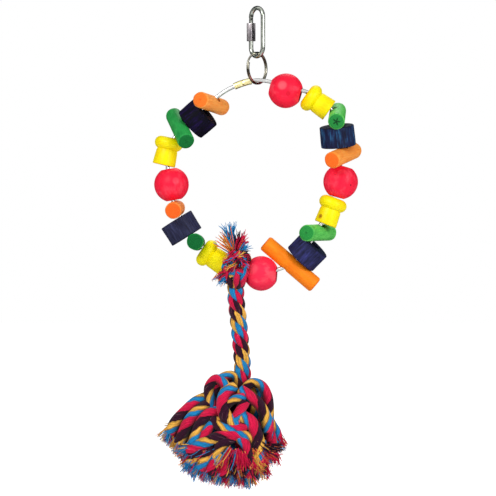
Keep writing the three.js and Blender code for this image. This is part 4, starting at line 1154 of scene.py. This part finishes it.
topTuftSpecs = [
    # base, tip, spread in tenths of a millimetre, count, tone
    ((385, 450, -6), (235, 250, -8), 18, 11, 0.68), ((380, 440, -4), (290, 240, -5), 16, 10, 0.58),
    ((370, 470, -9), (200, 325, -15), 13, 7, 0.68), ((400, 430, -5), (335, 140, -4), 11, 34, 0.35),
    ((415, 430, -3), (385, 240, 2), 16, 14, 0.35), ((430, 430, -5), (430, 230, -4), 16, 16, 0.9),
    ((440, 440, -6), (495, 250, -8), 22, 26, 0.1), ((440, 440, -3), (530, 320, -6), 20, 22, 0.1),
    ((430, 440, 2), (480, 280, 5), 20, 16, 0.1), ((450, 470, -8), (560, 360, -10), 14, 14, 0.35),
    ((450, 480, -8), (545, 440, -11), 14, 10, 0.9), ((450, 500, -10), (560, 490, -12), 16, 14, 0.1),
    ((360, 630, -11), (200, 712, -15), 13, 12, 0.1), ((360, 630, -8), (215, 760, -9), 18, 18, 0.35),
    ((370, 640, -9), (260, 775, -10), 18, 16, 0.35), ((380, 640, -9), (310, 760, -11), 16, 12, 0.9),
    ((350, 610, -9), (180, 720, -9), 12, 10, 0.64), ((400, 440, 5), (330, 260, 8), 20, 22, 0.1),
    ((430, 440, 6), (470, 280, 9), 20, 22, 0.35), ((380, 450, 6), (290, 300, 9), 20, 12, 0.9),
    ((360, 620, 8), (230, 740, 9), 20, 18, 0.58),
    # threads that lie over the front of the knot in small fans
    ((470, 470, -16), (300, 560, -19), 12, 12, 0.35), ((480, 500, -17), (320, 600, -20), 12, 12, 0.9),
    ((470, 520, -18), (330, 640, -19), 12, 11, 0.1), ((480, 480, -16), (350, 520, -19), 12, 12, 0.1),
    ((490, 520, -17), (400, 600, -20), 12, 12, 0.9), ((430, 560, -18), (300, 610, -19), 10, 10, 0.64),
    ((400, 480, -16), (520, 580, -18), 12, 12, 0.1), ((410, 450, -15), (540, 540, -17), 12, 12, 0.35),
    ((390, 470, -15), (480, 590, -19), 12, 10, 0.9), ((360, 500, -15), (420, 600, -19), 12, 8, 0.68),
    ((380, 520, -16), (300, 560, -18), 14, 12, 0.1), ((430, 500, -17), (500, 450, -19), 12, 10, 0.64),
    ((350, 480, -14), (290, 540, -17), 14, 10, 0.58), ((470, 560, -18), (520, 600, -19), 12, 10, 0.1),
    ((460, 450, -15), (380, 560, -18), 14, 13, 0.1), ((400, 440, -14), (330, 520, -17), 14, 13, 0.1),
    ((470, 470, -15), (440, 590, -19), 14, 13, 0.35), ((380, 480, -14), (360, 590, -18), 14, 12, 0.1),
    ((350, 520, -14), (330, 600, -18), 12, 12, 0.35), ((440, 500, -16), (350, 560, -19), 14, 12, 0.9),
    ((500, 500, -15), (450, 560, -18), 14, 13, 0.1), ((480, 540, -16), (520, 620, -17), 12, 11, 0.35),
    ((420, 460, -14), (480, 530, -18), 14, 12, 0.68), ((520, 480, -13), (500, 580, -17), 12, 11, 0.9),
]
topTufts = []
for base, tip, spread, count, tone in topTuftSpecs:
    start, end = knotPoint(*base), knotPoint(*tip)
    topTufts.append((start, (end - start).normalized(), (end - start).length, spread / 10000, count, tone))
topFringe = fringe("topKnotFringe", topTufts, 11, 0.00042, 0.3, 0.07, 0.9)
dress(topFringe, threadFinish, "cotton_rope")
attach(topFringe, "rope")
print("top knot made")

# Stage: a pale floor, dark cards and soft light from above and both sides
stage = {"floorZ": -0.47, "white": 1.0, "fill": 0.34}


def stageFinish(name, brightness):
    # a pale surface that the camera sees brighter than the lamps make it
    paint = Finish(name)
    light = paint.add("LightPath")
    glow = paint.mixed(light, (0, 0, 0, 1), (1, 1, 1, 1))
    return paint.finished(Base_Color=(0.9, 0.9, 0.9, 1), Roughness=0.9, Specular_IOR_Level=0.0,
                          Emission_Color=glow, Emission_Strength=brightness)


bpy.ops.mesh.primitive_plane_add(size=16, location=(0, 0, stage["floorZ"]))
floor = bpy.context.active_object
floor.name = "floor"
dress(floor, stageFinish("paleFloor", 0.85))

# dark cards off to the sides and above, which show only as reflections in the metal
cardFinish = Finish("darkCard")
cardFinish.finished(Base_Color=(0.012, 0.024, 0.024, 1), Roughness=1.0, Specular_IOR_Level=0.0)
# upright cards: bearing from the camera's way round to the right, and width; level cards: height
cardFar = 0.8
darkCards = []
for bearing, width in ((-135, 1.16), (135, 1.16), (69, 0.36), (-78, 0.24)):
    turn = math.radians(bearing)
    spot = (cardFar * math.sin(turn), -cardFar * math.cos(turn), -0.05)
    darkCards.append((spot, (math.pi / 2, 0, turn), width, 1.5))
for level in (0.42, -0.45):
    darkCards.append(((0, 0.48, level), (0, 0, 0), 1.0, 0.8))
for index, (spot, turned, width, height) in enumerate(darkCards):
    bpy.ops.mesh.primitive_plane_add(size=1, location=spot, rotation=turned)
    card = bpy.context.active_object
    card.name = "darkCard" + str(index + 1)
    card.scale = (width, height, 1)
    bpy.ops.object.transform_apply(location=False, rotation=False, scale=True)
    card.data.materials.append(cardFinish.material)
    card.visible_camera = False
    card.visible_diffuse = False
    card.visible_shadow = False

world = bpy.data.worlds.new("studio")
scene.world = world
world.use_nodes = True
tree = world.node_tree
rays = tree.nodes.new("ShaderNodeLightPath").outputs
seen = Value(tree, rays["Is Camera Ray"])
for kind in ("Is Glossy Ray", "Is Transmission Ray"):
    seen = seen.worked("MAXIMUM", seen, Value(tree, rays[kind]))
strength = seen * (stage["white"] - stage["fill"]) + stage["fill"]
background = tree.nodes["Background"]
tree.links.new(strength.socket, background.inputs["Strength"])
background.inputs["Color"].default_value = (1, 1, 1, 1)

lamps = [
    ("keyLamp", (-0.9, -1.5, 0.9), 0.9, 20),
    ("fillLamp", (1.2, -1.3, 0.3), 1.0, 15),
    ("backLamp", (0.2, 1.2, 1.0), 0.8, 6),
]
aim = Vector((-0.005, 0, -0.2))
for name, spot, size, power in lamps:
    data = bpy.data.lights.new(name, "AREA")
    data.shape = "DISK"
    data.size = size
    data.energy = power
    lamp = bpy.data.objects.new(name, data)
    scene.collection.objects.link(lamp)
    lamp.location = spot
    lamp.rotation_euler = (aim - Vector(spot)).to_track_quat("-Z", "Y").to_euler()
scene.view_settings.view_transform = "Standard"
print("stage set")
